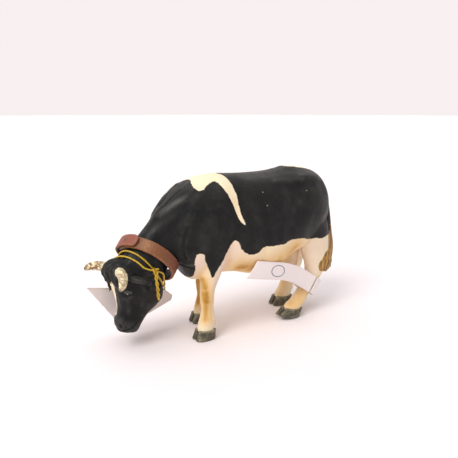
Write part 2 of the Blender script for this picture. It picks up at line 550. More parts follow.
class CowStage(bpy.types.PropertyGroup):
    backdrop: colour_property("Backdrop", "Floor and background", (248, 240, 241))
    sky: FloatProperty(name="Sky", description="Light of the white backdrop", default=0.85, min=0.0, max=4.0)
    room: FloatProperty(name="Room", description="Light from the front", default=0.3, min=0.0, max=4.0)
    key: FloatProperty(name="Key", description="Strength of the key lamp", default=1.5, min=0.0, max=20.0)
    top: FloatProperty(name="Top", description="Strength of the lamp above", default=0.8, min=0.0, max=20.0)


PROPERTY_GROUPS = {
    "cow_coat": CowCoat,
    "cow_horny": CowHorny,
    "cow_collar": CowCollar,
    "cow_cord": CowCord,
    "cow_paper": CowPaper,
    "cow_stage": CowStage,
}


# Forms


def unit(vector):
    vector = np.asarray(vector, float)
    return vector / np.linalg.norm(vector, axis=-1, keepdims=True)


def bell(value, middle, width):
    """1 at the middle, falling off smoothly to both sides."""
    return np.exp(-(((value - middle) / width) ** 2))


def smoothstep(value, low, high):
    share = np.clip((value - low) / (high - low), 0, 1)
    return share * share * (3 - 2 * share)


def signed_power(value, exponent):
    return np.sign(value) * np.abs(value) ** exponent


def between(stations, places):
    """Rows on a smooth curve through the stations, one for each place."""
    table = np.asarray(stations, float)
    last = len(table) - 1
    places = np.atleast_1d(np.asarray(places, float))
    i = np.minimum(np.floor(places).astype(int), last - 1)
    u = (places - i)[:, None]
    before, here = table[np.maximum(i - 1, 0)], table[i]
    after, beyond = table[i + 1], table[np.minimum(i + 2, last)]
    slope = after - before
    bend = 2 * before - 5 * here + 4 * after - beyond
    twist = -before + 3 * here - 3 * after + beyond
    return 0.5 * (2 * here + u * (slope + u * (bend + u * twist)))


def upright_rings(rows, angles, grow=0.0):
    """Sections of an upright form. Angles start at the top and go to the near side."""
    rows = np.atleast_2d(rows)
    zero = np.zeros(len(rows))
    top = np.stack([rows[:, 0], zero, rows[:, 1]], 1)
    bottom = np.stack([rows[:, 2], zero, rows[:, 3]], 1)
    height = np.linalg.norm(top - bottom, axis=1)
    up = (top - bottom) / height[:, None]
    half, widest, square = rows[:, 4:5], rows[:, 5:6], rows[:, 6:7]
    centre = bottom + up * (height[:, None] * widest)
    angles = np.asarray(angles, float)[None, :]
    tall = height[:, None]
    rise = np.where(np.cos(angles) > 0, tall * (1 - widest), tall * widest) + grow
    along = signed_power(np.cos(angles), 2 / square) * rise
    across = signed_power(np.sin(angles), 2 / square) * (half + grow)
    points = centre[:, None, :] + up[:, None, :] * along[:, :, None]
    points[:, :, 1] -= across
    return points


def level_rings(rows, sides, square=2.2):
    """Level sections: a row is x, y, z, half length, half width."""
    rows = np.atleast_2d(rows)
    angles = 2 * np.pi * (np.arange(sides) + 0.5) / sides
    points = np.repeat(rows[:, None, :3], sides, 1)
    points[:, :, 0] += signed_power(np.cos(angles), 2 / square) * rows[:, 3:4]
    points[:, :, 1] += signed_power(np.sin(angles), 2 / square) * rows[:, 4:5]
    return points


def rod_rings(rows, normal, sides, wave=None):
    """Sections square to a rod: a row is x, y, z, half wide, half thick."""
    centres = rows[:, :3]
    along = unit(np.gradient(centres, axis=0))
    side = unit(np.cross(np.asarray(normal, float), along))
    face = unit(np.cross(along, side))
    angles = 2 * np.pi * np.arange(sides) / sides
    swell = np.ones((len(rows), sides)) if wave is None else wave(np.linspace(0, 1, len(rows)), angles)
    wide = (np.cos(angles) * rows[:, 3:4] * swell)[:, :, None] * side[:, None, :]
    thick = (np.sin(angles) * rows[:, 4:5] * swell)[:, :, None] * face[:, None, :]
    return centres[:, None, :] + wide + thick


def skin(rings):
    """Vertices and faces of a form through equal rings, with a fan on each end."""
    count, sides = rings.shape[:2]
    points = rings.reshape(-1, 3)
    i = np.arange(count - 1)[:, None] * sides
    j = np.arange(sides)[None, :]
    k = (j + 1) % sides
    quads = np.stack([i + j, i + k, i + k + sides, i + j + sides], -1).reshape(-1, 4).tolist()
    first, last = len(points), len(points) + 1
    points = np.vstack([points, rings[0].mean(0), rings[-1].mean(0)])
    base = (count - 1) * sides
    for a in range(sides):
        b = (a + 1) % sides
        quads.append([first, b, a])
        quads.append([last, base + a, base + b])
    return points, quads


def rows_of(stations, per_station, start=0.0):
    """Rows on the curve through the stations, so many from each to the next."""
    last = len(stations) - 1
    count = int(round((last - start) * per_station)) + 1
    return between(stations, np.linspace(start, last, count))


def mesh_object(name, points, faces):
    """A new object from points in millimetres, facing out."""
    mesh = bpy.data.meshes.new(name)
    mesh.from_pydata((np.asarray(points) * MM).tolist(), [], faces)
    mesh.validate()
    turn_out(mesh)
    mesh.shade_smooth()
    piece = bpy.data.objects.new(name, mesh)
    bpy.context.scene.collection.objects.link(piece)
    return piece


def turn_out(mesh):
    """Faces of a closed mesh whose signed volume is negative are flipped."""
    mesh.calc_loop_triangles()
    corners = np.zeros(len(mesh.loop_triangles) * 3, int)
    mesh.loop_triangles.foreach_get("vertices", corners)
    points = np.zeros(len(mesh.vertices) * 3)
    mesh.vertices.foreach_get("co", points)
    a, b, c = points.reshape(-1, 3)[corners.reshape(-1, 3)].transpose(1, 0, 2)
    if np.einsum("ij,ij->i", a, np.cross(b, c)).sum() < 0:
        mesh.flip_normals()


def joined(forms):
    """One list of points and one of faces for several forms."""
    points, faces, start = [], [], 0
    for form_points, form_faces in forms:
        points.append(form_points)
        faces.extend([[index + start for index in face] for face in form_faces])
        start += len(form_points)
    return np.vstack(points), faces


def set_values(mesh, name, values):
    """A value for each point of a mesh, which its material reads."""
    layer = mesh.attributes.new(name, "FLOAT", "POINT")
    layer.data.foreach_set("value", np.asarray(values, np.float32).ravel())


def dress(piece, body, slot, material, *nodes):
    """Gives a piece its finish, and puts it on its body in place of its solids."""
    piece.data.materials.append(material)
    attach(piece, body)
    if nodes:
        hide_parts(*nodes)
    return piece


def evenly(points, spacing):
    """Even points along a smooth curve through the given ones."""
    points = np.asarray(points, float)
    fine = between(points, np.linspace(0, len(points) - 1, (len(points) - 1) * 40 + 1))
    run = np.concatenate([[0], np.cumsum(np.linalg.norm(np.diff(fine, axis=0), axis=1))])
    count = max(int(round(run[-1] / spacing)), 4)
    marks = np.linspace(0, run[-1], count + 1)
    even = np.stack([np.interp(marks, run, fine[:, k]) for k in range(3)], 1)
    return even, run[-1]


def rope(name, points, radius, lay, plies):
    """Twisted strands laid along a route, with the depth between the strands as a value."""
    centres, length = evenly(points, CORD_STEP)
    along = unit(np.gradient(centres, axis=0))
    side = np.zeros_like(centres)
    side[0] = unit(np.cross(along[0], (0.31, 0.52, 0.79)))
    for i in range(1, len(centres)):
        side[i] = unit(side[i - 1] - along[i] * np.dot(side[i - 1], along[i]))
    face = np.cross(along, side)
    angles = 2 * np.pi * np.arange(CORD_SIDES) / CORD_SIDES
    turn = np.linspace(0, length / lay * 2 * np.pi, len(centres))
    ply = np.abs(np.cos(plies / 2 * (angles[None, :] - turn[:, None])))
    reach = radius * (0.7 + 0.3 * ply)
    rings = centres[:, None, :] + reach[:, :, None] * (
        np.cos(angles)[None, :, None] * side[:, None, :] + np.sin(angles)[None, :, None] * face[:, None, :]
    )
    piece = mesh_object(name, *skin(rings))
    set_values(piece.data, "ply", np.append(ply.ravel(), [0.5, 0.5]))
    return piece, centres, length


# Nodes


def new_material(name):
    material = bpy.data.materials.new(name)
    material.use_nodes = True
    tree = material.node_tree
    return material, tree, tree.nodes["Principled BSDF"]


def put(tree, kind, inputs=None, **settings):
    """Adds a node. Inputs are sockets to link or values to set."""
    made = tree.nodes.new(kind)
    for name, value in settings.items():
        setattr(made, name, value)
    for key, value in (inputs or {}).items():
        if isinstance(value, bpy.types.NodeSocket):
            tree.links.new(value, made.inputs[key])
        else:
            made.inputs[key].default_value = value
    return made


def value_of(tree, name):
    return put(tree, "ShaderNodeAttribute", attribute_name=name).outputs["Fac"]


def sum_of(tree, operation, *terms):
    return put(tree, "ShaderNodeMath", dict(enumerate(terms)), operation=operation).outputs[0]


def ramp(tree, value, low, high, start=0.0, end=1.0):
    inputs = {"Value": value, "From Min": low, "From Max": high, "To Min": start, "To Max": end}
    return put(tree, "ShaderNodeMapRange", inputs, interpolation_type="SMOOTHSTEP").outputs["Result"]


def blend_colour(tree, share, first, second):
    inputs = {0: share, 6: first, 7: second}
    return put(tree, "ShaderNodeMix", inputs, data_type="RGBA", blend_type="MIX").outputs[2]


def times(tree, first, second):
    return sum_of(tree, "MULTIPLY", first, second)


def paint(colour):
    return (*colour, 1.0)


def layers(tree, colour, *coats):
    """Lays coats over a colour. A coat is its mask and its own colour."""
    for mask, over in coats:
        colour = blend_colour(tree, mask, colour, paint(over))
    return colour


def feed(tree, shader, **sockets):
    """Links what a surface shows to the inputs of its shader."""
    for name, socket in sockets.items():
        tree.links.new(socket, shader.inputs[name.replace("_", " ")])


def object_place(tree, stretch=(1.0, 1.0, 1.0), turn=(0.0, 0.0, 0.0)):
    """Place on the object, stretched along its axes, for a texture to follow."""
    place = put(tree, "ShaderNodeTexCoord").outputs["Object"]
    return put(tree, "ShaderNodeMapping", {"Vector": place, "Scale": stretch, "Rotation": turn}).outputs[0]


def noise(tree, place, scale, detail=3.0, rough=0.55):
    inputs = {"Vector": place, "Scale": scale, "Detail": detail, "Roughness": rough}
    return put(tree, "ShaderNodeTexNoise", inputs).outputs["Fac"]


def bump(tree, height, distance, strength):
    inputs = {"Height": height, "Distance": distance, "Strength": strength}
    return put(tree, "ShaderNodeBump", inputs).outputs["Normal"]


def new_group(name, inputs, outputs):
    """A node group whose sockets are floats, with its first and last nodes."""
    tree = bpy.data.node_groups.new(name, "ShaderNodeTree")
    for label, default in inputs:
        socket = tree.interface.new_socket(label, in_out="INPUT", socket_type="NodeSocketFloat")
        socket.default_value = default
    for label in outputs:
        tree.interface.new_socket(label, in_out="OUTPUT", socket_type="NodeSocketFloat")
    return tree, tree.nodes.new("NodeGroupInput"), tree.nodes.new("NodeGroupOutput")


def place_group(tree, name, **values):
    made = tree.nodes.new("ShaderNodeGroup")
    made.node_tree = bpy.data.node_groups[name]
    for label, value in values.items():
        key = label.replace("_", " ")
        if isinstance(value, bpy.types.NodeSocket):
            tree.links.new(value, made.inputs[key])
        else:
            made.inputs[key].default_value = value
    return made.outputs


def make_hair_group():
    """Fine moulded hair that runs back and down the body, as a height and as light and dark strands."""
    tree, start, end = new_group("moulded hair", (("Strand Scale", 1300.0),), ("Height", "Strands"))
    scale = start.outputs["Strand Scale"]
    wander = noise(tree, object_place(tree), 90.0, 2.0)
    place = object_place(tree, (0.42, 1.0, 0.2), (0.0, 0.5, 0.0))
    aside = put(tree, "ShaderNodeCombineXYZ", {"X": times(tree, wander, 0.004)}).outputs[0]
    shifted = put(tree, "ShaderNodeVectorMath", {0: place, 1: aside}, operation="ADD").outputs[0]
    strands = noise(tree, shifted, scale, 4.0, 0.62)
    coarse = noise(tree, shifted, times(tree, scale, 0.33), 2.0)
    height = sum_of(tree, "MULTIPLY_ADD", coarse, 0.8, strands)
    tree.links.new(height, end.inputs["Height"])
    tree.links.new(ramp(tree, strands, 0.35, 0.65), end.inputs["Strands"])


def make_wear_group():
    """Where paint, leather or horn has rubbed: along ridges, broken up by patches."""
    sockets = (("Ridge", 0.0), ("Amount", 0.5), ("Patch Scale", 160.0))
    tree, start, end = new_group("ridge wear", sockets, ("Worn",))
    patches = noise(tree, object_place(tree), start.outputs["Patch Scale"], 4.0, 0.6)
    broken = times(tree, start.outputs["Ridge"], ramp(tree, patches, 0.3, 0.7))
    amount = times(tree, broken, start.outputs["Amount"])
    tree.links.new(sum_of(tree, "MINIMUM", amount, 1.0), end.inputs["Worn"])


def make_grain_group():
    """Fine even grain, for leather, card and paper, as a height and as a mottle."""
    sockets = (("Grain Scale", 900.0), ("Pores", 0.5))
    tree, start, end = new_group("fine grain", sockets, ("Height", "Mottle"))
    place, scale = object_place(tree), start.outputs["Grain Scale"]
    fine = noise(tree, place, scale, 5.0, 0.65)
    cells = put(tree, "ShaderNodeTexVoronoi", {"Vector": place, "Scale": scale}).outputs["Distance"]
    pores = times(tree, cells, start.outputs["Pores"])
    tree.links.new(sum_of(tree, "SUBTRACT", fine, pores), end.inputs["Height"])
    tree.links.new(noise(tree, place, 120.0, 4.0, 0.6), end.inputs["Mottle"])


def hide_material():
    """Painted coat: black and cream with a ragged edge, airbrushed ochre, peach udder and rubbed places."""
    coat = bpy.context.scene.cow_coat
    material, tree, shader = new_material("painted hide")
    hair = place_group(tree, "moulded hair", Strand_Scale=1500.0)
    ridge = value_of(tree, "ridge")
    worn = place_group(tree, "ridge wear", Ridge=ridge, Amount=0.8, Patch_Scale=210.0)["Worn"]
    ragged = noise(tree, object_place(tree, (1.0, 1.0, 0.45), (0.0, 0.3, 0.0)), 1300.0, 3.0, 0.6)
    edge = sum_of(tree, "MULTIPLY_ADD", ragged, 1.1, value_of(tree, "coat"))
    pale = ramp(tree, edge, 0.38, 0.72)

    soft = noise(tree, object_place(tree), 75.0, 3.0)
    rubbed = times(tree, value_of(tree, "rub"), ramp(tree, soft, 0.2, 0.75))
    place = object_place(tree)
    flecks = []
    for fleck in FLECKS:
        spot = tuple(part * MM for part in fleck)
        away = put(tree, "ShaderNodeVectorMath", {0: place, 1: spot}, operation="DISTANCE").outputs["Value"]
        flecks.append((ramp(tree, away, FLECK_CORE * MM, FLECK_EDGE * MM, 1.0, 0.0), coat.cream))
    dark = layers(
        tree,
        paint(coat.black),
        (ramp(tree, soft, 0.3, 0.85, 0.0, 0.05), coat.black_light),
        (times(tree, hair["Strands"], 0.03), coat.black_light),
        (times(tree, worn, 0.35), coat.black_light),
        (times(tree, rubbed, 0.4), coat.black_light),
        *flecks,
    )

    streaks = noise(tree, object_place(tree, (1.0, 1.0, 0.35)), 260.0, 4.0)
    shade = times(tree, value_of(tree, "ochre"), ramp(tree, streaks, 0.1, 0.75, 0.7, 1.1))
    light = layers(
        tree,
        paint(coat.cream),
        (value_of(tree, "blush"), coat.blush),
        (shade, coat.ochre),
        (ramp(tree, shade, 0.6, 1.1, 0.0, 0.75), coat.umber),
        (value_of(tree, "udder"), coat.udder),
        (times(tree, value_of(tree, "crease"), 0.55), coat.ochre),
        (times(tree, hair["Strands"], 0.07), coat.ochre),
    )
    gloss = ramp(tree, hair["Strands"], 0.0, 1.0, 0.36, 0.5)
    relief = sum_of(tree, "MULTIPLY_ADD", pale, 0.5, hair["Height"])
    feed(
        tree,
        shader,
        Base_Color=blend_colour(tree, pale, dark, light),
        Roughness=sum_of(tree, "MULTIPLY_ADD", pale, 0.08, gloss),
        Normal=bump(tree, relief, coat.hair_depth, 0.8),
    )
    shader.inputs["Specular IOR Level"].default_value = 0.18
    return material


def eye_material():
    """Glossy black eye with a pale painted line round its lower rim."""
    coat = bpy.context.scene.cow_coat
    material, tree, shader = new_material("painted eye")
    line = ramp(tree, value_of(tree, "rim"), 0.42, 0.62)
    brush = ramp(tree, noise(tree, object_place(tree), 1400.0), 0.15, 0.4)
    feed(tree, shader, Base_Color=layers(tree, paint(coat.eye), (times(tree, line, brush), coat.eye_line)))
    shader.inputs["Roughness"].default_value = 0.18
    shader.inputs["Coat Weight"].default_value = 0.4
    return material


def horn_material():
    """Cream horn with growth lines and a brown wash towards the tip."""
    tones = bpy.context.scene.cow_horny
    material, tree, shader = new_material("painted horn")
    lines = noise(tree, object_place(tree, (1.0, 0.4, 1.0), (0.6, 0.2, 0.0)), 900.0, 4.0, 0.65)
    wash = times(tree, ramp(tree, lines, 0.38, 0.56), value_of(tree, "wash"))
    grooves = times(tree, value_of(tree, "groove"), 0.55)
    browned = (sum_of(tree, "MAXIMUM", wash, grooves), tones.horn_brown)
    tipped = (ramp(tree, value_of(tree, "tip"), 0.0, 1.0), tones.horn_tip)
    feed(
        tree,
        shader,
        Base_Color=layers(tree, paint(tones.horn), browned, tipped),
        Roughness=ramp(tree, lines, 0.2, 0.8, 0.36, 0.58),
        Normal=bump(tree, lines, 0.08 * MM, 0.8),
    )
    return material


def hoof_material():
    """Grey-green hoof with pale dry-brushed growth rings."""
    tones = bpy.context.scene.cow_horny
    material, tree, shader = new_material("painted hoof")
    rings = noise(tree, object_place(tree, (0.15, 0.15, 1.0)), 1300.0, 4.0)
    spots = noise(tree, object_place(tree), 420.0, 5.0, 0.7)
    brushed = times(tree, ramp(tree, spots, 0.42, 0.7), ramp(tree, rings, 0.3, 0.7, 0.3, 1.0))
    low = times(tree, value_of(tree, "rim"), 0.5)
    mask = sum_of(tree, "MINIMUM", sum_of(tree, "ADD", brushed, low), 1.0)
    feed(
        tree,
        shader,
        Base_Color=layers(tree, paint(tones.hoof), (mask, tones.hoof_light)),
        Roughness=ramp(tree, spots, 0.2, 0.8, 0.45, 0.7),
        Normal=bump(tree, rings, 0.08 * MM, 0.8),
    )
    return material


def switch_material():
    """Streaked golden and brown hair of the tail's end."""
    tones = bpy.context.scene.cow_horny
    material, tree, shader = new_material("tail hair")
    strand = value_of(tree, "strand")
    streak = noise(tree, object_place(tree, (1.0, 1.0, 0.16), (0.0, 0.35, 0.0)), 1100.0, 4.0)
    mask = ramp(tree, sum_of(tree, "MULTIPLY_ADD", streak, 1.6, strand), 0.75, 1.75)
    feed(
        tree,
        shader,
        Base_Color=layers(tree, paint(tones.tail_brown), (mask, tones.tail_gold)),
        Roughness=ramp(tree, streak, 0.2, 0.8, 0.5, 0.7),
        Normal=bump(tree, streak, 0.14 * MM, 0.9),
    )
    return material


def leather_material():
    """Brown leather with fine grain, a yellowish rubbed face, pale cut edges and a dark flesh side."""
    tones = bpy.context.scene.cow_collar
    material, tree, shader = new_material("collar leather")
    grain = place_group(tree, "fine grain", Grain_Scale=1500.0, Pores=0.6)
    edge = value_of(tree, "edge")
    worn = place_group(tree, "ridge wear", Ridge=edge, Amount=1.0, Patch_Scale=420.0)["Worn"]
    mottle = ramp(tree, grain["Mottle"], 0.3, 0.72)
    shine = times(tree, value_of(tree, "shine"), ramp(tree, grain["Height"], 0.1, 0.4, 0.5, 1.0))
    body = layers(
        tree,
        paint(tones.leather),
        (times(tree, mottle, 0.5), tones.patches),
        (shine, tones.worn),
        (times(tree, value_of(tree, "flap"), 0.8), tones.flap),
        (times(tree, worn, 0.55), tones.worn),
        (value_of(tree, "flesh"), tones.inside),
    )
    feed(
        tree,
        shader,
        Base_Color=body,
        Roughness=ramp(tree, grain["Height"], 0.0, 0.5, 0.62, 0.42),
        Normal=bump(tree, grain["Height"], tones.grain_depth, 0.9),
    )
    return material


def rivet_material():
    """Dull metal rivet, a little scuffed."""
    tones = bpy.context.scene.cow_collar
    material, tree, shader = new_material("rivet metal")
    scuff = noise(tree, object_place(tree), 1500.0, 4.0, 0.65)
    feed(
        tree,
        shader,
        Base_Color=layers(tree, paint(tones.metal), (ramp(tree, scuff, 0.45, 0.8), tones.scuffs)),
        Roughness=ramp(tree, scuff, 0.2, 0.8, 0.2, 0.42),
        Normal=bump(tree, scuff, 0.01 * MM, 0.6),
    )
    shader.inputs["Metallic"].default_value = 1.0
    return material


def cord_material():
    """Gold thread wound on each strand, dark between the strands."""
    tones = bpy.context.scene.cow_cord
    material, tree, shader = new_material("gold cord")
    threads = noise(tree, object_place(tree), 4200.0, 2.0)
    strand = ramp(tree, value_of(tree, "ply"), 0.3, 0.8)
    mask = times(tree, strand, ramp(tree, threads, 0.3, 0.7, 0.72, 1.0))
    feed(
        tree,
        shader,
        Base_Color=layers(tree, paint(tones.shade), (mask, tones.gold)),
        Roughness=ramp(tree, threads, 0.2, 0.8, 0.3, 0.5),
        Normal=bump(tree, threads, 0.05 * MM, 0.8),
    )
    shader.inputs["Metallic"].default_value = 0.15
    return material


def paper_material(name, tone, edge_tone, gloss, ink=None):
    """Card or paper with faint fibres, soiled edges and, where there is ink, a plain oval line."""
    material, tree, shader = new_material(name)
    grain = place_group(tree, "fine grain", Grain_Scale=2200.0, Pores=0.1)
    shaded = tuple(part * 0.86 for part in tone)
    soiled = times(tree, value_of(tree, "edge"), ramp(tree, grain["Mottle"], 0.25, 0.65))
    coats = [(ramp(tree, grain["Mottle"], 0.2, 0.85, 0.0, 0.16), shaded), (soiled, edge_tone)]
    if ink is not None:
        along, across = value_of(tree, "oval_along"), value_of(tree, "oval_across")
        away = sum_of(tree, "MULTIPLY_ADD", along, along, times(tree, across, across))
        coats.append((times(tree, ramp(tree, away, 0.72, 0.8), ramp(tree, away, 0.94, 1.02, 1.0, 0.0)), ink))
    feed(
        tree,
        shader,
        Base_Color=layers(tree, paint(tone), *coats),
        Roughness=ramp(tree, grain["Height"], 0.1, 0.8, gloss, gloss + 0.12),
        Normal=bump(tree, grain["Height"], 0.02 * MM, 0.6),
    )
    return material


# Hide


def shank(share):
    """Height on a leg, from 0 at the hoof to 1 at the underside of the chest."""
    return HOOF_HEIGHT + share * (CHEST - HOOF_HEIGHT)


def fore_leg_stations(x, y):
    half = FORE_HOOF_HALF
    return (
        (x + 0.5, y, HOOF_RIM - 1.2, half * 0.7, half * 0.6),
        (x + 0.6, y, HOOF_RIM, half * 0.8, half * 0.72),
        (x + 1.1, y, HOOF_HEIGHT + 1.9, half * 0.82, half * 0.74),
        (x + 1.6, y, shank(0.2), 3.6, 3.35),
        (x + 1.7, y, shank(0.44), 2.8, 2.7),
        (x + 1.7, y, shank(0.74), 3.3, 3.1),
        (x + 2.2, y, shank(0.9), 3.9, 3.5),
        (x + 3.6, y, CHEST + 5, 5.2, 3.9),
        (x + 4.8, y, CHEST + 10, 6.6, 4.0),
        (x + 5.6, y, CHEST + 16, 6.4, 3.4),
        (x + 5.6, y, CHEST + 19, 4.6, 2.4),
    )


def hind_leg_stations(x, y, rake):
    half = HIND_HOOF_HALF
    return (
        (x + 2.4 * rake, y, HOOF_RIM - 1.2, half * 0.68, half * 0.54),
        (x + 2.9 * rake, y, HOOF_RIM, half * 0.78, half * 0.66),
        (x + 4.4 * rake, y, HOOF_HEIGHT + 1.4, 4.5, 3.75),
        (x + 6.4 * rake, y, shank(0.13), 4.1, 3.6),
        (x + 9.4 * rake, y, shank(0.3), 3.9, 3.3),
        (x + 12.8 * rake, y, shank(0.48), 4.1, 3.2),
        (x + 15.8 * rake, y, shank(0.64), 4.9, 3.5),
        (x + 17.4 * rake, y, CHEST - 3, 5.8, 4.2),
        (x + 17.2 * rake, y, CHEST + 4, 7.8, 4.8),
        (x + 15.8 * rake, y, CHEST + 12, 9.2, 5.2),
        (x + 14.6 * rake, y, CHEST + 20, 9.2, 5.0),
        (x + 13.6 * rake, y, CHEST + 26, 7.0, 3.8),
    )


def lift_toe(points, x):
    """Rocks a hoof back on its heel; the lift fades out up the cannon."""
    heel = x - 0.4 + HIND_HOOF_HALF
    fade = np.clip(1 - points[..., 2] / (2.2 * HOOF_HEIGHT), 0, None)
    points[..., 2] += np.clip(heel - points[..., 0], 0, None) * math.tan(TOE_LIFT) * fade
    return points


def hide_forms():
    """The overlapping forms that are melted into one hide."""
    body = tuple(reversed(HEAD_STATIONS)) + TORSO_STATIONS
    angles = 2 * np.pi * np.arange(96) / 96
    forms = [skin(upright_rings(rows_of(body, 8), angles))]
    near_hind = level_rings(rows_of(hind_leg_stations(NEAR_HIND_X, -HIND_Y, 1.0), 6), 48)
    forms.append(skin(lift_toe(near_hind, NEAR_HIND_X)))
    forms.append(skin(level_rings(rows_of(hind_leg_stations(FAR_HIND_X, HIND_Y, FAR_RAKE), 6), 48)))
    forms.append(skin(level_rings(rows_of(fore_leg_stations(NEAR_FORE_X, -FORE_Y), 6), 48)))
    forms.append(skin(level_rings(rows_of(fore_leg_stations(FAR_FORE_X, FORE_Y), 6), 48)))
    forms.append(skin(level_rings(rows_of(UDDER_STATIONS, 6), 48)))
    for x in (21.0, 28.5):
        for y in (-3.2, 3.2):
            teat = (
                (x, y, CHEST - 5, 1.5, 1.5),
                (x, y, CHEST - 6.9, 1.15, 1.15),
                (x, y, CHEST - 8.2, 0.62, 0.62),
            )
            forms.append(skin(level_rings(rows_of(teat, 6), 24, 2.0)))
    forms.append(skin(rod_rings(rows_of(TAIL_STATIONS[:5], 10), (0, -1, 0), 24)))
    for ear in (NEAR_EAR, FAR_EAR):
        forms.append(skin(rod_rings(rows_of(ear, 8), (0, 0.3, 1), 28)))
    for lock in FORELOCKS:
        forms.append(skin(rod_rings(rows_of(lock, 6), (0.2, 1, 0.1), 16) - SHIFT))
    return [(points + SHIFT, faces) for points, faces in forms]


def neighbour_mean(points, edges, degree):
    """For each point, the mean of the points that an edge joins to it."""
    total = np.zeros_like(points)
    for k in range(points.shape[1]):
        total[:, k] = np.bincount(edges[:, 0], points[edges[:, 1], k], len(points))
        total[:, k] += np.bincount(edges[:, 1], points[edges[:, 0], k], len(points))
    return total / degree[:, None]


def nearness(points, line, radius):
    """1 on a line through points, falling off smoothly with distance."""
    line = np.asarray(line, float)
    near = np.zeros(len(points))
    reach = 2.6 * radius
    low, high = line.min(0) - reach, line.max(0) + reach
    chosen = np.where(((points > low) & (points < high)).all(1))[0]
    if not len(chosen):
        return near
    local = points[chosen]
    least = np.full(len(chosen), np.inf)
    if len(line) == 1:
        least = ((local - line[0]) ** 2).sum(1)
    for a, b in zip(line[:-1], line[1:]):
        span = b - a
        share = np.clip((local - a) @ span / (span @ span), 0, 1)
        least = np.minimum(least, ((local - a - share[:, None] * span) ** 2).sum(1))
    near[chosen] = np.exp(-least / radius**2)
    return near


def rounded(outline):
    """Points on a smooth closed curve through the corners of an outline."""
    table = np.asarray(outline, float)
    looped = np.vstack([table[-1:], table, table[:2]])
    return between(looped, 1 + np.arange(len(table) * OUTLINE_STEPS) / OUTLINE_STEPS)


def outline_distance(plane, outline):
    """Signed distance to a closed outline, positive inside."""
    outline = np.asarray(outline, float)
    least = np.full(len(plane), np.inf)
    inside = np.zeros(len(plane), bool)
    for a, b in zip(outline, np.roll(outline, -1, 0)):
        span = b - a
        share = np.clip((plane - a) @ span / (span @ span), 0, 1)
        least = np.minimum(least, ((plane - a - share[:, None] * span) ** 2).sum(1))
        crosses = (a[1] > plane[:, 1]) != (b[1] > plane[:, 1])
        rise = np.where(abs(span[1]) < 1e-9, 1e-9, span[1])
        inside ^= crosses & (plane[:, 0] < a[0] + (plane[:, 1] - a[1]) * span[0] / rise)
    return np.where(inside, 1, -1) * np.sqrt(least)


def leg_relief():
    """Knees, fetlocks, dewclaws and tendons of the four legs."""
    relief = []

    def add(radius, height, *line):
        relief.append((line, radius, height))

    for x, y in ((NEAR_FORE_X, -FORE_Y), (FAR_FORE_X, FORE_Y)):
        x = x + SHIFT[0]
        add(2.0, 0.55, (x - 1.2, y, 17.4), (x - 1.4, y, 20.4))
        add(1.5, 0.35, (x + 4.6, y, 17.5), (x + 4.8, y, 20.0))
        add(3.2, 0.35, (x + 1.4, y, 8.4))
        for side in (-1, 1):
            add(0.85, 0.75, (x + 4.4, y + 1.5 * side, 7.4), (x + 5.0, y + 1.6 * side, 6.4))
            add(0.9, -0.35, (x + 2.8, y + 2.9 * side, 10.5), (x + 2.8, y + 3.0 * side, 15.5))
            add(1.6, 0.25, (x + 2.2, y + 3.4 * side, 22.5), (x + 3.0, y + 3.8 * side, 28.0))
        add(1.4, -0.2, (x - 2.4, y, 13.0), (x - 2.0, y, 10.0))
        add(0.9, -0.35, (x - 4.4, y, 5.0), (x - 4.4, y, 6.6))
    for x, y, rake in ((NEAR_HIND_X, -HIND_Y, 1.0), (FAR_HIND_X, HIND_Y, FAR_RAKE)):
        x = x + SHIFT[0]
        add(1.7, 0.75, (x + 15.8 * rake + 4.6, y, 20.5), (x + 16.6 * rake + 5.4, y, 22.8))
        add(2.2, 0.4, (x + 15.4 * rake - 3.8, y, 20.5), (x + 16.4 * rake - 4.0, y, 23.0))
        add(3.4, 0.3, (x + 6.0 * rake, y, 8.6))
        for side in (-1, 1):
            claw_y, tendon_y = y + 1.6 * side, y + 3.2 * side
            add(0.9, 0.8, (x + 6.6 * rake + 3.6, claw_y, 8.4), (x + 6.2 * rake + 4.4, claw_y, 7.2))
            add(1.0, -0.35, (x + 9.8 * rake + 1.2, tendon_y, 12.5), (x + 13.6 * rake + 1.4, tendon_y, 17.5))
            thigh_x = x + 17.0 * rake
            add(1.4, -0.4, (thigh_x + 2.6, y + 4.2 * side, 25.0), (thigh_x + 4.6, y + 4.6 * side, 33.0))
    return relief


def poll_locks(points):
    """A crown of hair between the horns, with wavy locks that run down the forehead."""
    x, y, z = points.T
    crown = nearness(points, ((-54.6, 0.4, 40.6), (-57.6, 0.8, 40.2), (-58.8, 0.8, 37.6)), 3.0)
    zone = nearness(points, ((-52.5, 0, 42.0), (-57.5, 0, 41.0), (-59.5, 0, 37.5), (-58.4, 0, 33.5)), 3.8)
    wave = np.sin(y * 3.4 + 0.9 * np.sin(z * 1.1) + 0.8 * np.sin(x * 0.9))
    wave += 0.5 * np.sin(y * 6.1 - z * 1.4)
    return 1.1 * crown + zone * 0.3 * wave


def melt_forms(forms, voxel):
    """One closed skin round all of the forms, of even small faces."""
    rough = mesh_object("rough hide", *joined(forms))
    melt = rough.modifiers.new("melt", "REMESH")
    melt.mode = "VOXEL"
    melt.voxel_size = voxel
    graph = bpy.context.evaluated_depsgraph_get()
    mesh = bpy.data.meshes.new_from_object(rough.evaluated_get(graph))
    bpy.data.objects.remove(rough)
    mesh.name = "cow_hide"
    return mesh


def one_side(points):
    """The places with those of the near side mirrored to the far one."""
    return points * (1, 0, 1) + np.abs(points) * (0, 1, 0)


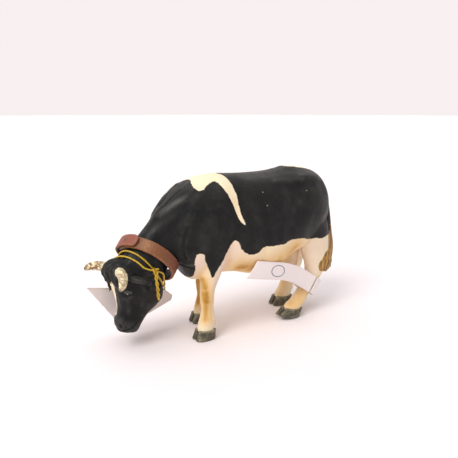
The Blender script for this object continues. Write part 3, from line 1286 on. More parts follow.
def junction_weight(points):
    """Where the legs, the udder, the tail and the ears flow into the body."""
    paired = one_side(points)
    weight = np.zeros(len(points))
    lines = (
        (((-22, 10, 31), (-6, 10, 33), (-8, 13, 38), (-14, 14, 44)), 5.0),
        (((28, 8, 34), (34, 12, 36), (40, 13, 46), (52, 12, 42), (56, 10, 36)), 5.5),
        (((33, 14, 54), (45, 14, 56)), 5.0),
        (((24, 4, 27), (44, 4, 27)), 4.0),
        (((54, 1, 71), (60, 2, 64)), 2.5),
        (((-51, 6, 34.4),), 2.2),
    )
    for line, radius in lines:
        weight = np.maximum(weight, nearness(paired, line, radius))
    return weight


def sculpt(mesh):
    """Smooths the melted hide, then raises and sinks its relief. Gives the points in millimetres."""
    count = len(mesh.vertices)
    points = np.zeros(count * 3)
    mesh.vertices.foreach_get("co", points)
    points = points.reshape(-1, 3) / MM
    edges = np.zeros(len(mesh.edges) * 2, int)
    mesh.edges.foreach_get("vertices", edges)
    edges = edges.reshape(-1, 2)
    degree = np.bincount(edges.ravel(), minlength=count).astype(float)

    for _ in range(MELT_ROUNDS):
        points += 0.5 * (neighbour_mean(points, edges, degree) - points)
        points -= 0.52 * (neighbour_mean(points, edges, degree) - points)
    weight = junction_weight(points)[:, None]
    for _ in range(JUNCTION_ROUNDS):
        points += 0.5 * weight * (neighbour_mean(points, edges, degree) - points)

    def normals():
        mesh.vertices.foreach_set("co", (points * MM).ravel())
        mesh.update()
        found = np.zeros(count * 3)
        mesh.vertex_normals.foreach_get("vector", found)
        return found.reshape(-1, 3)

    out = normals()
    paired = one_side(points)
    rise = np.zeros(count)
    for line, radius, height in PAIRED_RELIEF:
        rise += height * nearness(paired, line, radius)
    for line, radius, height in leg_relief():
        rise += height * nearness(points, line, radius)
    rise += poll_locks(points)
    points += out * rise[:, None]
    for _ in range(RELIEF_ROUNDS):
        points += 0.4 * (neighbour_mean(points, edges, degree) - points)
    low, high = (np.array(corner) / MM for corner in CAD_BOX)
    points = np.clip(points, low + BOX_MARGIN, high - BOX_MARGIN)
    out = normals()
    bend = ((points - neighbour_mean(points, edges, degree)) * out).sum(1)
    for _ in range(BEND_ROUNDS):
        bend = neighbour_mean(bend[:, None], edges, degree)[:, 0]
    return points, bend


def coat_distance(points):
    """Signed distance to the edge of the cream paint, positive in the cream."""
    x, y, z = points.T
    side = np.stack([x, z], 1)
    near, far = (outline_distance(side, rounded(outline)) for outline in (NEAR_CREAM, FAR_CREAM))
    lower = np.where(y < 0, near, far)
    around = np.degrees(np.arctan2(-y, z - BARREL_CENTRE))
    barrel = np.stack([x, around * BARREL_SCALE], 1)
    withers = outline_distance(barrel, rounded(np.array(WITHERS_PATCH) * (1, BARREL_SCALE)))
    withers = np.where(z > BARREL_CENTRE, withers, -COAT_REACH)
    rump = outline_distance(np.stack([x, y], 1), rounded(RUMP_PATCH))
    rump = np.where(z > RUMP_LOWEST, rump, -COAT_REACH)
    face = outline_distance(np.stack([y, z], 1), rounded(BLAZE))
    face = np.where(x < BLAZE_BACK, face, -COAT_REACH)
    tail = nearness(points, np.array(TAIL_STATIONS[1:5])[:, :3] + SHIFT, 2.6)
    lower = np.where(tail > 0.35, -COAT_REACH, lower)
    for lock in FORELOCKS:
        face = np.where(nearness(points, np.array(lock)[:, :3], 0.9) > 0.3, -COAT_REACH, face)
    return np.clip(np.maximum.reduce([lower, withers, rump, face]), -COAT_REACH, COAT_REACH)


def painted(points, strokes):
    """Strength of the strongest of several soft strokes at each point."""
    return np.maximum.reduce([level * nearness(points, line, radius) for line, radius, level in strokes])


class COW_OT_hide(bpy.types.Operator):
    """Makes the painted hide from the body, legs, udder, ears and dock melted together"""

    bl_idname = "cow.hide"
    bl_label = "Hide"

    def execute(self, context):
        mesh = melt_forms(hide_forms(), context.scene.cow_coat.voxel)
        points, bend = sculpt(mesh)
        mesh.shade_smooth()
        set_values(mesh, "coat", coat_distance(points))
        for name, strokes in (("ochre", OCHRE_LINES), ("blush", BLUSH_LINES), ("rub", RUBBED_LINES)):
            set_values(mesh, name, painted(points, strokes))
        set_values(mesh, "ridge", np.clip(bend / RIDGE_BEND, 0, 1))
        set_values(mesh, "crease", np.clip(-bend / CREASE_BEND, 0, 1))
        udder = nearness(points, UDDER_LINE, UDDER_RADIUS)
        set_values(mesh, "udder", smoothstep(udder, 0.25, 0.8))
        hide = bpy.data.objects.new("cow_hide", mesh)
        context.scene.collection.objects.link(hide)
        nodes = ["torso", "head", "udder", "left_ear", "right_ear"]
        nodes += ["left_fore_leg", "right_fore_leg", "left_hind_leg", "right_hind_leg"]
        dress(hide, "figure", "hide", hide_material(), *nodes)
        return {"FINISHED"}


# Hooves, eyes, horns and tail


def claw(x, y, half_long, half_wide, side, drift):
    """One claw of a cloven hoof, from the sole up into the leg."""
    share, grow = np.array((CLAW_HEIGHTS, CLAW_SIZES))[:, :, None]
    height = HOOF_RIM * share
    angles = 2 * np.pi * np.arange(CLAW_SIDES) / CLAW_SIDES
    toe = np.clip(-np.cos(angles), 0, 1)
    width = half_wide * 0.5 * grow * (1 - 0.1 * toe**2)
    inner = signed_power(np.sin(angles), 0.36) * 1.08
    outer = signed_power(np.sin(angles), 0.8)
    across = y + side * half_wide * 0.5 + width * np.where(np.sin(angles) * side < 0, inner, outer)
    along = x + drift * share + signed_power(np.cos(angles), 0.86) * half_long * grow
    rim = 0.5 * bell(height, 0, 0.6) + bell(height, HOOF_RIM, 0.35)
    return np.stack(np.broadcast_arrays(along, across, height), -1), np.repeat(rim, CLAW_SIDES)


class COW_OT_hooves(bpy.types.Operator):
    """Makes the eight claws of the four hooves"""

    bl_idname = "cow.hooves"
    bl_label = "Hooves"

    def execute(self, context):
        forms, rims = [], []
        # Place of a foot, its half length, its width as a share of that, how far it leans back, and its lift.
        feet = (
            (NEAR_FORE_X - 0.5, -FORE_Y, FORE_HOOF_HALF, FORE_HOOF_SLIM, 1.1, False),
            (FAR_FORE_X - 0.5, FORE_Y, FORE_HOOF_HALF, FORE_HOOF_SLIM, 1.1, False),
            (NEAR_HIND_X - 0.4, -HIND_Y, HIND_HOOF_HALF, HIND_HOOF_SLIM, 3.1, True),
            (FAR_HIND_X - 0.4, HIND_Y, HIND_HOOF_HALF, HIND_HOOF_SLIM, 1.7, False),
        )
        for x, y, half, slim, drift, lifted in feet:
            for side in (-1, 1):
                rings, rim = claw(x, y, half, slim * half, side, drift)
                if lifted:
                    rings = lift_toe(rings, NEAR_HIND_X)
                forms.append(skin(rings + SHIFT))
                rims.append(np.append(rim, [1.0, 0.0]))
        hooves = mesh_object("hooves", *joined(forms))
        set_values(hooves.data, "rim", np.concatenate(rims))
        dress(hooves, "figure", "leg", hoof_material())
        return {"FINISHED"}


class COW_OT_eyes(bpy.types.Operator):
    """Sets an almond-shaped eye into each side of the face"""

    bl_idname = "cow.eyes"
    bl_label = "Eyes"

    def execute(self, context):
        hide = bpy.data.objects["cow_hide"]
        material = eye_material()
        angles = 2 * np.pi * np.arange(56) / 56
        almond = 1 - 0.22 * np.abs(np.cos(angles)) ** 3
        for name, side in (("eye_left", 1), ("eye_right", -1)):
            start = Vector(np.array(EYE_PLACE) * (1, side, 1) * MM)
            found, place, normal = hide.closest_point_on_mesh(start)[:3]
            if not found:
                raise RuntimeError("the face has no place for an eye")
            place, out = np.array(place) / MM, unit(np.array(normal))
            up = unit(np.array(EYE_UP) - out * np.dot(EYE_UP, out))
            along = np.cross(up, out)
            line = np.array(EYE_LINE) * (1, side, 1)
            rings, rim = [], []
            for radius in np.linspace(0, 1, 19)[1:]:
                across = radius * EYE_HALF_LONG * np.cos(angles)
                tall = radius * EYE_HALF_TALL * np.sin(angles) * almond
                dome = 0.75 * (1 - radius**3) + 0.25
                ring = place + across[:, None] * along + tall[:, None] * up + dome * out
                flat = [spots - np.outer((spots - place) @ out, out) for spots in (ring, line)]
                rings.append(ring)
                rim.append(nearness(flat[0], flat[1], EYE_LINE_RADIUS))
            eye = mesh_object(name, *skin(np.array(rings)))
            set_values(eye.data, "rim", np.append(np.concatenate(rim), [0.0, 0.0]))
            dress(eye, "figure", "hide", material)
        return {"FINISHED"}


def horn_lines(along, around):
    """Fine lines that wind up a horn."""
    return np.sin(7 * around + 5 * along[:, None] + 1.3)


def horn_swell(along, around):
    rings = 0.025 * np.sin(along * 46)[:, None] * (1 - along)[:, None]
    return 1 + rings + 0.03 * horn_lines(along, around)


class COW_OT_horns(bpy.types.Operator):
    """Makes the two horns with their growth lines"""

    bl_idname = "cow.horns"
    bl_label = "Horns"

    def execute(self, context):
        material = horn_material()
        for name, stations, node, browned in (
            ("horn_near", NEAR_HORN, "left_horn", 0.7),
            ("horn_far", FAR_HORN, "right_horn", 1.0),
        ):
            rows = rows_of(stations, 16)
            share = np.linspace(0, 1, len(rows))
            tip = np.sqrt(np.clip(1 - ((share - 0.9) / 0.1).clip(0, 1) ** 2, 0.02, 1))
            rows[:, 3:] *= tip[:, None]
            piece = mesh_object(name, *skin(rod_rings(rows, (0, 0, 1), HORN_SIDES, horn_swell) + SHIFT))
            angles = 2 * np.pi * np.arange(HORN_SIDES) / HORN_SIDES
            groove = np.clip(-horn_lines(share, angles) - 0.55, 0, 1) * smoothstep(share, 0.2, 0.5)[:, None]
            wash, dark = (
                np.tile(browned * smoothstep(share, low, high)[:, None], HORN_SIDES)
                for low, high in ((0.12, 0.4), (0.84, 1.0))
            )
            for label, value in (("groove", groove), ("wash", wash), ("tip", dark)):
                set_values(piece.data, label, np.append(value.ravel(), [0.0, value[-1, 0]]))
            dress(piece, "figure", "horn", material, node)
        return {"FINISHED"}


def tail_strands(along, around):
    """Height of the strands of hair that wind down the tail's end."""
    along = along[:, None]
    drift = 2.2 * along + 0.7 * np.sin(11 * along) + 0.5 * np.sin(5 * around + 7 * along)
    return 0.7 * np.cos(11 * around + drift) + 0.6 * np.cos(19 * around - 2.3 * drift + 1.0)


def tail_swell(along, around):
    return 1 + 0.055 * tail_strands(along, around) * smoothstep(along, 0.0, 0.2)[:, None]


class COW_OT_tail(bpy.types.Operator):
    """Makes the long streaked hair at the tail's end"""

    bl_idname = "cow.tail"
    bl_label = "Tail"

    def execute(self, context):
        rows = rows_of(TAIL_STATIONS, 26, SWITCH_START)
        share = np.linspace(0, 1, len(rows))
        fuller = 1.04 + 0.5 * bell(share, 0.27, 0.15) - 0.1 * smoothstep(share, 0.85, 1.0)
        rows[:, 3] *= fuller
        rings = rod_rings(rows, (0, -1, 0), SWITCH_SIDES, tail_swell)
        tail = mesh_object("tail_hair", *skin(rings + SHIFT))
        angles = 2 * np.pi * np.arange(SWITCH_SIDES) / SWITCH_SIDES
        lit = 0.5 + 0.32 * tail_strands(share, angles)
        set_values(tail.data, "strand", np.append(lit.ravel(), [0.4, 0.4]))
        dress(tail, "figure", "tail", switch_material(), "tail")
        return {"FINISHED"}


# Collar


def collar_frame():
    """Rows are the top, near side and axis of the collar, and its centre."""
    axis = unit((0.651, 0.336, 0.68))
    top = unit((-0.68, 0, 0.651))
    left = unit(np.cross(axis, top))
    return top, left, np.cross(top, left), np.array([-48.1, 0.7, CHEST + 11.4])


def strap_section():
    """Outline of the leather strip: place across and height in it, with the values of its edge and flesh."""
    half = COLLAR_WIDTH / 2
    across, rise = half - STRAP_ROUND, COLLAR_THICKNESS - STRAP_ROUND
    outline = []
    upper = ((across, rise, 0), (-across, rise, 90))
    lower = ((-across, STRAP_ROUND, 180), (across, STRAP_ROUND, 270))
    for middle, height, start in upper + lower:
        for step in range(5):
            angle = math.radians(start + 22.5 * step)
            outline.append((middle + STRAP_ROUND * math.cos(angle), height + STRAP_ROUND * math.sin(angle)))
        if start == 0:
            outline.extend((place, COLLAR_THICKNESS) for place in np.linspace(across, -across, 9)[1:-1])
        if start == 180:
            outline.extend((place, 0.0) for place in np.linspace(-across, across, 9)[1:-1])
    section = np.array(outline)
    share = np.abs(section[:, 0]) / half
    face = section[:, 1] > COLLAR_THICKNESS - 0.02
    section[:, 1] += np.where(face, 0.05 * (1 - share**2), 0)
    edge = smoothstep(share, 0.78, 0.97) * (section[:, 1] > 0.2)
    flesh = (section[:, 1] < 0.15).astype(float)
    return section, edge, flesh


class COW_OT_collar(bpy.types.Operator):
    """Makes the lapped leather strap and its rivet"""

    bl_idname = "cow.collar"
    bl_label = "Collar"

    def execute(self, context):
        top, left, axis, centre = collar_frame()
        section, edge, flesh = strap_section()
        total = 360 + COLLAR_OVERLAP
        turns = np.linspace(0, total, 240)
        turns = np.concatenate([turns, total - np.geomspace(8.0, 0.02, 16)])
        turns.sort()
        angles = np.radians(LAP_START + turns)
        radius = COLLAR_BORE + COLLAR_LIFT * smoothstep(turns, *STRAP_CLIMB)
        to_end = np.radians(total - turns) * radius
        narrow = np.sqrt(np.clip(1 - np.clip(1 - to_end / TONGUE, 0, 1) ** 2.6, 0.0004, 1))
        rings = np.zeros((len(turns), len(section), 3))
        for i, angle in enumerate(angles):
            out = math.cos(angle) * top + math.sin(angle) * left
            height = section[:, 1] * (0.72 + 0.28 * min(1.0, to_end[i] / 0.6))
            height = height + (0.18 if to_end[i] < 0.01 else 0)
            reach = radius[i] + height
            rings[i] = centre + reach[:, None] * out + (section[:, 0] * narrow[i])[:, None] * axis
        strap = mesh_object("collar_leather", *skin(rings + SHIFT))
        count = len(turns)
        cut = smoothstep(1.1 - to_end, 0, 0.9)[:, None] * (1 - flesh)
        edges = np.maximum(np.repeat(edge[None, :], count, 0), cut)
        degrees = (LAP_START + turns)[:, None]
        ridge = (1 - (section[:, 0] / COLLAR_WIDTH * 1.7) ** 2).clip(0, 1)
        shine = 0.8 * bell(degrees, *RUBBED_AT) * ridge + 0.2 * bell(degrees, *SHEEN_AT) * (1 - flesh)
        shine = np.where(flesh > 0, 0, shine * 0.9).clip(0, 1)
        flap = smoothstep(turns, *STRAP_REDDENS)[:, None] * (1 - flesh)
        flap = np.maximum(flap, 0.5 * bell(degrees, *REDDER_AT) * (1 - flesh))
        fleshes = np.repeat(flesh[None, :], count, 0)
        for label, value in (("edge", edges), ("flesh", fleshes), ("shine", shine), ("flap", flap)):
            set_values(strap.data, label, np.append(value.ravel(), [0.4, 0.4]))
        dress(strap, "collar", "leather", leather_material(), "collar_strap")

        spot = math.radians(LAP_END - COLLAR_OVERLAP / 2)
        out = math.cos(spot) * top + math.sin(spot) * left
        side = np.cross(axis, out)
        stack = COLLAR_BORE + 2 * COLLAR_THICKNESS + LAP_PLAY
        profile = [(RIVET_FOOT, COLLAR_BORE), (RIVET_FOOT, stack + 0.04)]
        profile += [(RIVET_HEAD - 0.06, stack + 0.05), (RIVET_HEAD, stack + 0.1)]
        for slope in np.linspace(0.12, 1.5, 12):
            profile.append((RIVET_HEAD * math.cos(slope), stack + 0.11 + RIVET_DOME * math.sin(slope)))
        around = 2 * np.pi * np.arange(32) / 32
        circle = np.cos(around)[:, None] * axis + np.sin(around)[:, None] * side
        rings = np.array([centre + along * out + reach * circle for reach, along in profile])
        rivet = mesh_object("collar_stud", *skin(rings + SHIFT))
        dress(rivet, "collar", "rivet", rivet_material(), "collar_rivet")
        return {"FINISHED"}


# Cord


def on_neck(turns, rise):
    """Point on the neck; the turn starts at the knot."""
    throat = upright_rings(np.array(HEAD_STATIONS[1:3], float), [math.pi])[:, 0]
    step = np.linalg.norm(throat[1] - throat[0])
    angle = KNOT_ANGLE + turns * 2 * math.pi
    tilt = CORD_TILT * math.sin(angle) + CORD_RAISE * math.cos(angle)
    place = CORD_START + turns * TURN_PITCH / step - tilt
    return upright_rings(between(HEAD_STATIONS, place), [angle], rise)[0, 0]


def neck_cord_points():
    """The turns round the neck, which climb to the knot at both ends."""
    points = []
    for i in range(NECK_TURNS * CORD_POINTS + 1):
        turns = KNOT_CLEAR + (NECK_TURNS - 2 * KNOT_CLEAR) * i / (NECK_TURNS * CORD_POINTS)
        from_end = min(turns - KNOT_CLEAR, NECK_TURNS - KNOT_CLEAR - turns)
        lift = (KNOT_OUT - CORD_RISE) * 0.75 * max(0.0, 1 - from_end / KNOT_CLIMB)
        points.append(on_neck(turns, CORD_RISE + lift))
    return np.array(points)


def cord_tail_points(knot):
    """Down and up again: two strands wound round each other, with a loop at the end."""
    lean, apart, twists = 1.1, 0.41, 2.25
    top = knot - (0, 0, KNOT_HALF[2] - 0.9)
    length = CORD_TAIL_LENGTH + 1.2 - apart
    down, up = [], []
    for share in np.linspace(0, 1, 28):
        middle = top + (lean * share, -0.25 * math.sin(3 * share), -length * share)
        turn = 2 * math.pi * twists * share
        aside = apart * np.array([math.cos(turn), math.sin(turn), 0])
        down.append(middle - aside)
        up.append(middle + aside)
    bend = [(down[-1] + up[-1]) / 2 - (0, 0, apart * 1.25)]
    return np.array(down + bend + up[::-1])


def tag_frame():
    """The way along the fold, the way down a leaf and the way out of it."""
    along = unit((0.984, 0, -0.176))
    down = unit((-0.176, 0, -0.984))
    return along, down, np.cross(along, down)


def tag_cord_points():
    """Out of the turns, round through the holes of both leaves and back."""
    down = tag_frame()[1]
    outward = np.array([0.0, 1.0, 0.0])
    bend = []
    for angle in np.radians([-90, -60, -30, 0, 30, 60, 90]):
        bend.append(TAG_FOLD + TAG_HOLE_DROP * (math.sin(angle) * outward + math.cos(angle) * down))
    start = on_neck((NECK_TURNS + 1) / 2, CORD_RISE + STRAND_PITCH)
    half = np.array([STRAND_PITCH / 2, 0, 0])

    def strand(end, side):
        above = TAG_FOLD + (side * 0.4, side * 1.3, 5.2)
        waist = above + 0.25 * (end - above)
        return [end, end + 0.3 * (waist - end), waist]

    return np.array(strand(start - half, -1) + bend + strand(start + half, 1)[::-1])


class COW_OT_cord(bpy.types.Operator):
    """Winds the gold cord round the neck, with its knot, its tail and the loop that holds the tag"""

    bl_idname = "cow.cord"
    bl_label = "Cord"

    def execute(self, context):
        settings = context.scene.cow_cord
        lay, plies = settings.lay / MM, settings.plies
        material = cord_material()
        radius = CORD_DIAMETER / 2
        knot_place = on_neck(NECK_TURNS / 2, KNOT_OUT)

        turn = np.linspace(0, 2 * np.pi, 64)
        forward = np.sin(turn) + 1.7 * np.sin(2 * turn)
        upward = np.cos(turn) - 2.0 * np.cos(2 * turn)
        loops = np.stack([forward, 1.6 * np.sin(3 * turn + 0.4), upward], 1)
        room = (KNOT_HALF - radius) / np.abs(loops).max(0)
        knot = rope("cord_knot_loops", knot_place + loops * room + SHIFT, radius, lay, plies)[0]
        dress(knot, "figure", "cord", material, "cord_knot")

        made = {}
        tied = knot_place[None, :]
        routes = (
            ("cord_end", cord_tail_points(knot_place) + SHIFT, "cord_tail"),
            ("cord_to_tag", tag_cord_points() + SHIFT, "tag_cord"),
            ("cord_round_neck", np.vstack([tied, neck_cord_points(), tied]) + SHIFT, "neck_cord"),
        )
        for name, route, node in routes:
            piece, centres, length = rope(name, route, radius, lay, plies)
            dress(piece, "figure", "cord", material, node)
            made[name] = (piece, centres, length)
        piece, centres, length = made["cord_round_neck"]
        piece, centres, length = made["cord_to_tag"]
        return {"FINISHED"}


# Tag and label


def sheet_points(outline, hole, spacing):
    """Triangles that fill an outline, with a grid of points inside it and room for a round hole."""
    outline = np.asarray(outline, float)
    edge = []
    for a, b in zip(outline, np.roll(outline, -1, 0)):
        count = max(int(np.linalg.norm(b - a) / spacing), 1)
        edge.extend(a + (b - a) * i / count for i in range(count))
    border = [list(range(len(edge)))]
    points = list(edge)
    if hole:
        across, down, radius = hole
        border.append(list(range(len(points), len(points) + 32)))
        points += [
            np.array([across + radius * math.cos(a), down + radius * math.sin(a)])
            for a in 2 * np.pi * np.arange(32) / 32
        ]
    low, high = outline.min(0), outline.max(0)
    marks = [np.arange(start, end, spacing) for start, end in zip(low, high)]
    grid = np.stack(np.meshgrid(*marks), -1).reshape(-1, 2)
    keep = outline_distance(grid, edge) > spacing * 0.45
    if hole:
        keep &= np.hypot(grid[:, 0] - across, grid[:, 1] - down) > radius + spacing * 0.4
    points += list(grid[keep])
    edges = [(ring[i], ring[(i + 1) % len(ring)]) for ring in border for i in range(len(ring))]
    filled = delaunay_2d_cdt([Vector(p) for p in points], edges, [], 0, 1e-6)
    flat, faces = np.array([tuple(p) for p in filled[0]]), filled[2]
    middles = np.array([flat[list(face)].mean(0) for face in faces])
    inside = outline_distance(middles, edge) > 0
    if hole:
        inside &= np.hypot(middles[:, 0] - across, middles[:, 1] - down) > radius * 0.98
    return flat, [list(face) for face, use in zip(faces, inside) if use]


def thicken(piece, thickness):
    """Gives a sheet its thickness both ways, with a fine rounded edge."""
    solid = piece.modifiers.new("thickness", "SOLIDIFY")
    solid.thickness = thickness * MM
    solid.offset = 0.0
    rounding = piece.modifiers.new("edge", "BEVEL")
    rounding.width = thickness * 0.2 * MM
    rounding.segments = 2
    rounding.limit_method = "ANGLE"
    rounding.angle_limit = math.radians(50)
    graph = bpy.context.evaluated_depsgraph_get()
    mesh = bpy.data.meshes.new_from_object(piece.evaluated_get(graph))
    piece.modifiers.clear()
    piece.data = mesh
    mesh.shade_smooth()
    mesh.set_sharp_from_angle(angle=math.radians(35))


class COW_OT_tag(bpy.types.Operator):
    """Makes the two leaves of the folded card tag"""

    bl_idname = "cow.tag"
    bl_label = "Tag"

    def execute(self, context):
        tones = context.scene.cow_paper
        material = paper_material("tag card", tones.card, tones.card_edge, 0.5)
        along, down, outward = tag_frame()
        hole = (0.0, TAG_HOLE_DROP + 0.02, TAG_HOLE_RADIUS)
        flat, faces = sheet_points(TAG_OUTLINE, hole, 0.8)
        x, y = flat.T
        share = y / TAG_DROP
        lean = smoothstep(y, 0.0, 1.2)
        apart = FOLD_HALF * (1 - lean) + (CARD_THICKNESS + TAG_LEAF_GAP) / 2 * lean + 0.2 * share
        warp = (0.22 * np.sin(x * 0.16 + 0.6) + 0.1 * np.sin(x * 0.4 + y * 0.3)) * share
        for name, side, body, node in (
            ("tag_leaf_front", -1, "tag_front", "tag_front_leaf"),
            ("tag_leaf_back", 1, "tag_back", "tag_back_leaf"),
        ):
            offset = side * apart + warp
            points = TAG_FOLD + x[:, None] * along + y[:, None] * down + offset[:, None] * outward + SHIFT
            leaf = mesh_object(name, points, faces)
            border = np.clip(1 - outline_distance(flat, TAG_OUTLINE) / 0.9, 0, 1)
            fold = np.clip(1 - y / 0.8, 0, 1)
            set_values(leaf.data, "edge", np.clip(fold + 0.22 * border, 0, 1))
            thicken(leaf, CARD_THICKNESS * 0.9)
            dress(leaf, body, "card", material, node)
        return {"FINISHED"}


# The near hind leg as its solid has it.
CAD_HIND_STATIONS = (
    (NEAR_HIND_X - 0.4, -HIND_Y, 0.0, HIND_HOOF_HALF, HIND_HOOF_HALF * HIND_HOOF_SLIM),
    (NEAR_HIND_X, -HIND_Y, HOOF_HEIGHT * 0.45, HIND_HOOF_HALF * 0.94, HIND_HOOF_HALF * 0.74),
    (NEAR_HIND_X + 2.8, -HIND_Y, HOOF_HEIGHT, HIND_HOOF_HALF * 0.82, HIND_HOOF_HALF * 0.66),
    (NEAR_HIND_X + 6.2, -HIND_Y, shank(0.12), 4.2, 3.6),
    (NEAR_HIND_X + 9.4, -HIND_Y, shank(0.3), 4.2, 3.4),
    (NEAR_HIND_X + 12.8, -HIND_Y, shank(0.48), 4.4, 3.4),
    (NEAR_HIND_X + 15.8, -HIND_Y, shank(0.64), 4.9, 3.6),
)


class COW_OT_label(bpy.types.Operator):
    """Makes the paper strip looped round the near hind leg, its ends stuck together as a flag"""

    bl_idname = "cow.label"
    bl_label = "Label"

    def execute(self, context):
        tones = context.scene.cow_paper
        material = paper_material("label paper", tones.paper, tones.card_edge, 0.42, tones.ink)
        station = between(CAD_HIND_STATIONS, LABEL_STATION)[0]
        centre = station[:3] + (0, 0, LABEL_RAISE)
        half_long = station[3] + LABEL_SLACK + 1 + LABEL_THICKNESS / 2
        half_wide = station[4] + LABEL_SLACK + LABEL_THICKNESS / 2
        left = np.array([0.0, -1.0, 0.0])
        band_axis, flag_axis = unit(BAND_AXIS), unit(FLAG_AXIS)
        half = LABEL_WIDTH / 2
        across = np.linspace(-half, half, 12)
        width = across[:, None]

        forward = unit(np.cross(left, band_axis))
        band = []
        for angle in np.radians(np.linspace(90, 90 - LABEL_WRAP, 60)):
            place = centre + math.cos(angle) * half_long * forward + math.sin(angle) * half_wide * left
            band.append(place + width * band_axis)

        flag = []
        place = centre + half_wide * left
        shares = np.linspace(0, 1, FLAG_STEPS + 1)
        for share in shares:
            axis = unit(band_axis + (flag_axis - band_axis) * smoothstep(share, 0.05, 0.7))
            forward = unit(np.cross(left, axis))
            lean = FLAG_LEAN * smoothstep(share, 0, 0.9) + 0.05
            slant = -FLAG_SLANT / LABEL_WIDTH * smoothstep(share, 0.75, 1.0)
            curl = FLAG_CURL * math.sin(share * 5.2) * (width / half) ** 2
            flag.append(place + width * axis + (width + half) * slant * forward + (lean + curl) * left)
            place = place + forward * LABEL_FLAG / FLAG_STEPS

        forms, edges = [], []
        for rows in (np.array(band), np.array(flag)):
            count, wide = rows.shape[:2]
            index = np.arange(count * wide).reshape(count, wide)
            quads = np.stack([index[:-1, :-1], index[1:, :-1], index[1:, 1:], index[:-1, 1:]], -1)
            forms.append((rows.reshape(-1, 3) + SHIFT, quads.reshape(-1, 4).tolist()))
            edges.append(np.tile(smoothstep(np.abs(across) / half, 0.93, 1.0) * 0.2, count))
        label = mesh_object("leg_label_paper", *joined(forms))
        set_values(label.data, "edge", np.concatenate(edges))
        off = np.full(len(band) * len(across), OVAL_FAR)
        along = np.repeat((shares * LABEL_FLAG - OVAL_PLACE) / OVAL_HALF_LONG, len(across))
        over = np.tile(across / OVAL_HALF_WIDE, len(flag))
        set_values(label.data, "oval_along", np.append(off, along))
        set_values(label.data, "oval_across", np.append(off, over))
        thicken(label, LABEL_THICKNESS * 0.7)
        dress(label, "label", "label", material, "leg_label")
        return {"FINISHED"}


# Stage


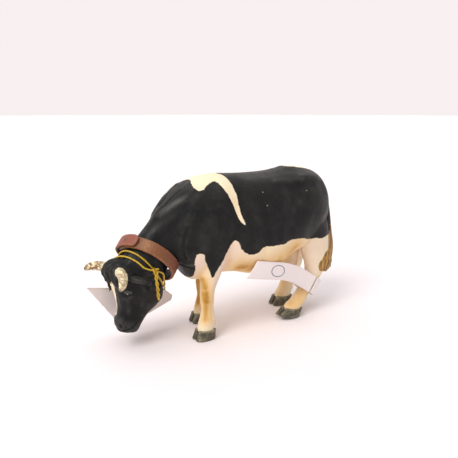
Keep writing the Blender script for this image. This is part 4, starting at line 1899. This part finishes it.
class COW_OT_stage(bpy.types.Operator):
    """Sets the camera, the lamps, the even light and the pale floor"""

    bl_idname = "cow.stage"
    bl_label = "Stage"

    def execute(self, context):
        settings = context.scene.cow_stage
        scene = context.scene
        scene.view_settings.view_transform = "Standard"
        lens = bpy.data.cameras.new("camera")
        lens.lens = CAMERA_LENS
        lens.sensor_width = CAMERA_SENSOR
        camera = bpy.data.objects.new("camera", lens)
        right, up = Vector(CAMERA_RIGHT), Vector(CAMERA_UP)
        back = right.cross(up)
        turn = Matrix((right, up, back)).transposed().to_4x4()
        camera.matrix_world = Matrix.Translation(CAMERA_PLACE) @ turn
        scene.collection.objects.link(camera)
        scene.camera = camera

        for name, aim, spread, tint in LAMPS:
            lamp = bpy.data.lights.new(name, "SUN")
            lamp.energy = getattr(settings, name)
            lamp.angle = math.radians(spread)
            lamp.color = tint
            sun = bpy.data.objects.new(name, lamp)
            sun.rotation_euler = Vector(aim).to_track_quat("-Z", "Y").to_euler()
            scene.collection.objects.link(sun)

        world = bpy.data.worlds.new("studio")
        world.use_nodes = True
        scene.world = world
        tree = world.node_tree
        plain = tree.nodes["Background"]
        plain.inputs["Color"].default_value = (1.0, 0.985, 0.99, 1.0)
        place = put(tree, "ShaderNodeTexCoord").outputs["Generated"]
        behind = put(tree, "ShaderNodeVectorMath", {0: place, 1: BACKDROP_WAY}, operation="DOT_PRODUCT")
        lit = ramp(tree, behind.outputs["Value"], -0.5, 0.7, settings.room, settings.sky)
        tree.links.new(lit, plain.inputs["Strength"])
        seen = put(tree, "ShaderNodeBackground", {"Color": paint(settings.backdrop), "Strength": 1.0})
        rays = put(tree, "ShaderNodeLightPath").outputs
        shown = sum_of(tree, "MAXIMUM", rays["Is Camera Ray"], rays["Is Glossy Ray"])
        shown = sum_of(tree, "MAXIMUM", shown, rays["Is Transmission Ray"])
        mixed = put(tree, "ShaderNodeMixShader", {0: shown, 1: plain.outputs[0], 2: seen.outputs[0]})
        tree.links.new(mixed.outputs[0], tree.nodes["World Output"].inputs["Surface"])

        material, tree, shader = new_material("paper floor")
        faint = noise(tree, object_place(tree), 30.0, 3.0)
        soft = tuple(part * 0.985 for part in settings.backdrop)
        tone = layers(tree, paint(settings.backdrop), (ramp(tree, faint, 0.3, 0.7), soft))
        feed(tree, shader, Base_Color=tone)
        shader.inputs["Roughness"].default_value = 0.85
        shader.inputs["Specular IOR Level"].default_value = 0.1
        around = 2 * np.pi * np.arange(FLOOR_CORNERS) / FLOOR_CORNERS
        ring = np.stack([np.cos(around), np.sin(around), np.zeros(FLOOR_CORNERS)], 1)
        ring = ring * FLOOR_RADIUS + (0, 0, FLOOR_LEVEL)
        floor = mesh_object("floor", ring, [list(range(FLOOR_CORNERS))])
        floor.data.materials.append(material)
        return {"FINISHED"}


class COW_PT_panel(bpy.types.Panel):
    """Lists the steps and the settings of the cow figurine"""

    bl_idname = "COW_PT_panel"
    bl_label = "Cow figurine"
    bl_space_type = "VIEW_3D"
    bl_region_type = "UI"
    bl_category = "Cow"

    def draw(self, context):
        column = self.layout.column()
        for step in OPERATORS:
            column.operator(step.bl_idname)
        for name, group in PROPERTY_GROUPS.items():
            settings = getattr(context.scene, name)
            for label in group.__annotations__:
                column.prop(settings, label)


OPERATORS = (
    COW_OT_stage,
    COW_OT_cord,
    COW_OT_hide,
    COW_OT_hooves,
    COW_OT_eyes,
    COW_OT_horns,
    COW_OT_tail,
    COW_OT_collar,
    COW_OT_tag,
    COW_OT_label,
)


def register():
    for name, group in PROPERTY_GROUPS.items():
        bpy.utils.register_class(group)
        setattr(bpy.types.Scene, name, PointerProperty(type=group))
    for item in OPERATORS:
        bpy.utils.register_class(item)
    bpy.utils.register_class(COW_PT_panel)


def unregister():
    bpy.utils.unregister_class(COW_PT_panel)
    for item in reversed(OPERATORS):
        bpy.utils.unregister_class(item)
    for name, group in reversed(PROPERTY_GROUPS.items()):
        delattr(bpy.types.Scene, name)
        bpy.utils.unregister_class(group)


def corners(box):
    return [[float(value) for value in corner] for corner in box]


def main():
    register()
    make_hair_group()
    make_wear_group()
    make_grain_group()
    bpy.ops.cow.stage()
    bpy.ops.cow.cord()
    bpy.ops.cow.hide()
    bpy.ops.cow.hooves()
    bpy.ops.cow.eyes()
    bpy.ops.cow.horns()
    bpy.ops.cow.tail()
    bpy.ops.cow.collar()
    bpy.ops.cow.tag()
    bpy.ops.cow.label()


if __name__ == "__main__":
    main()
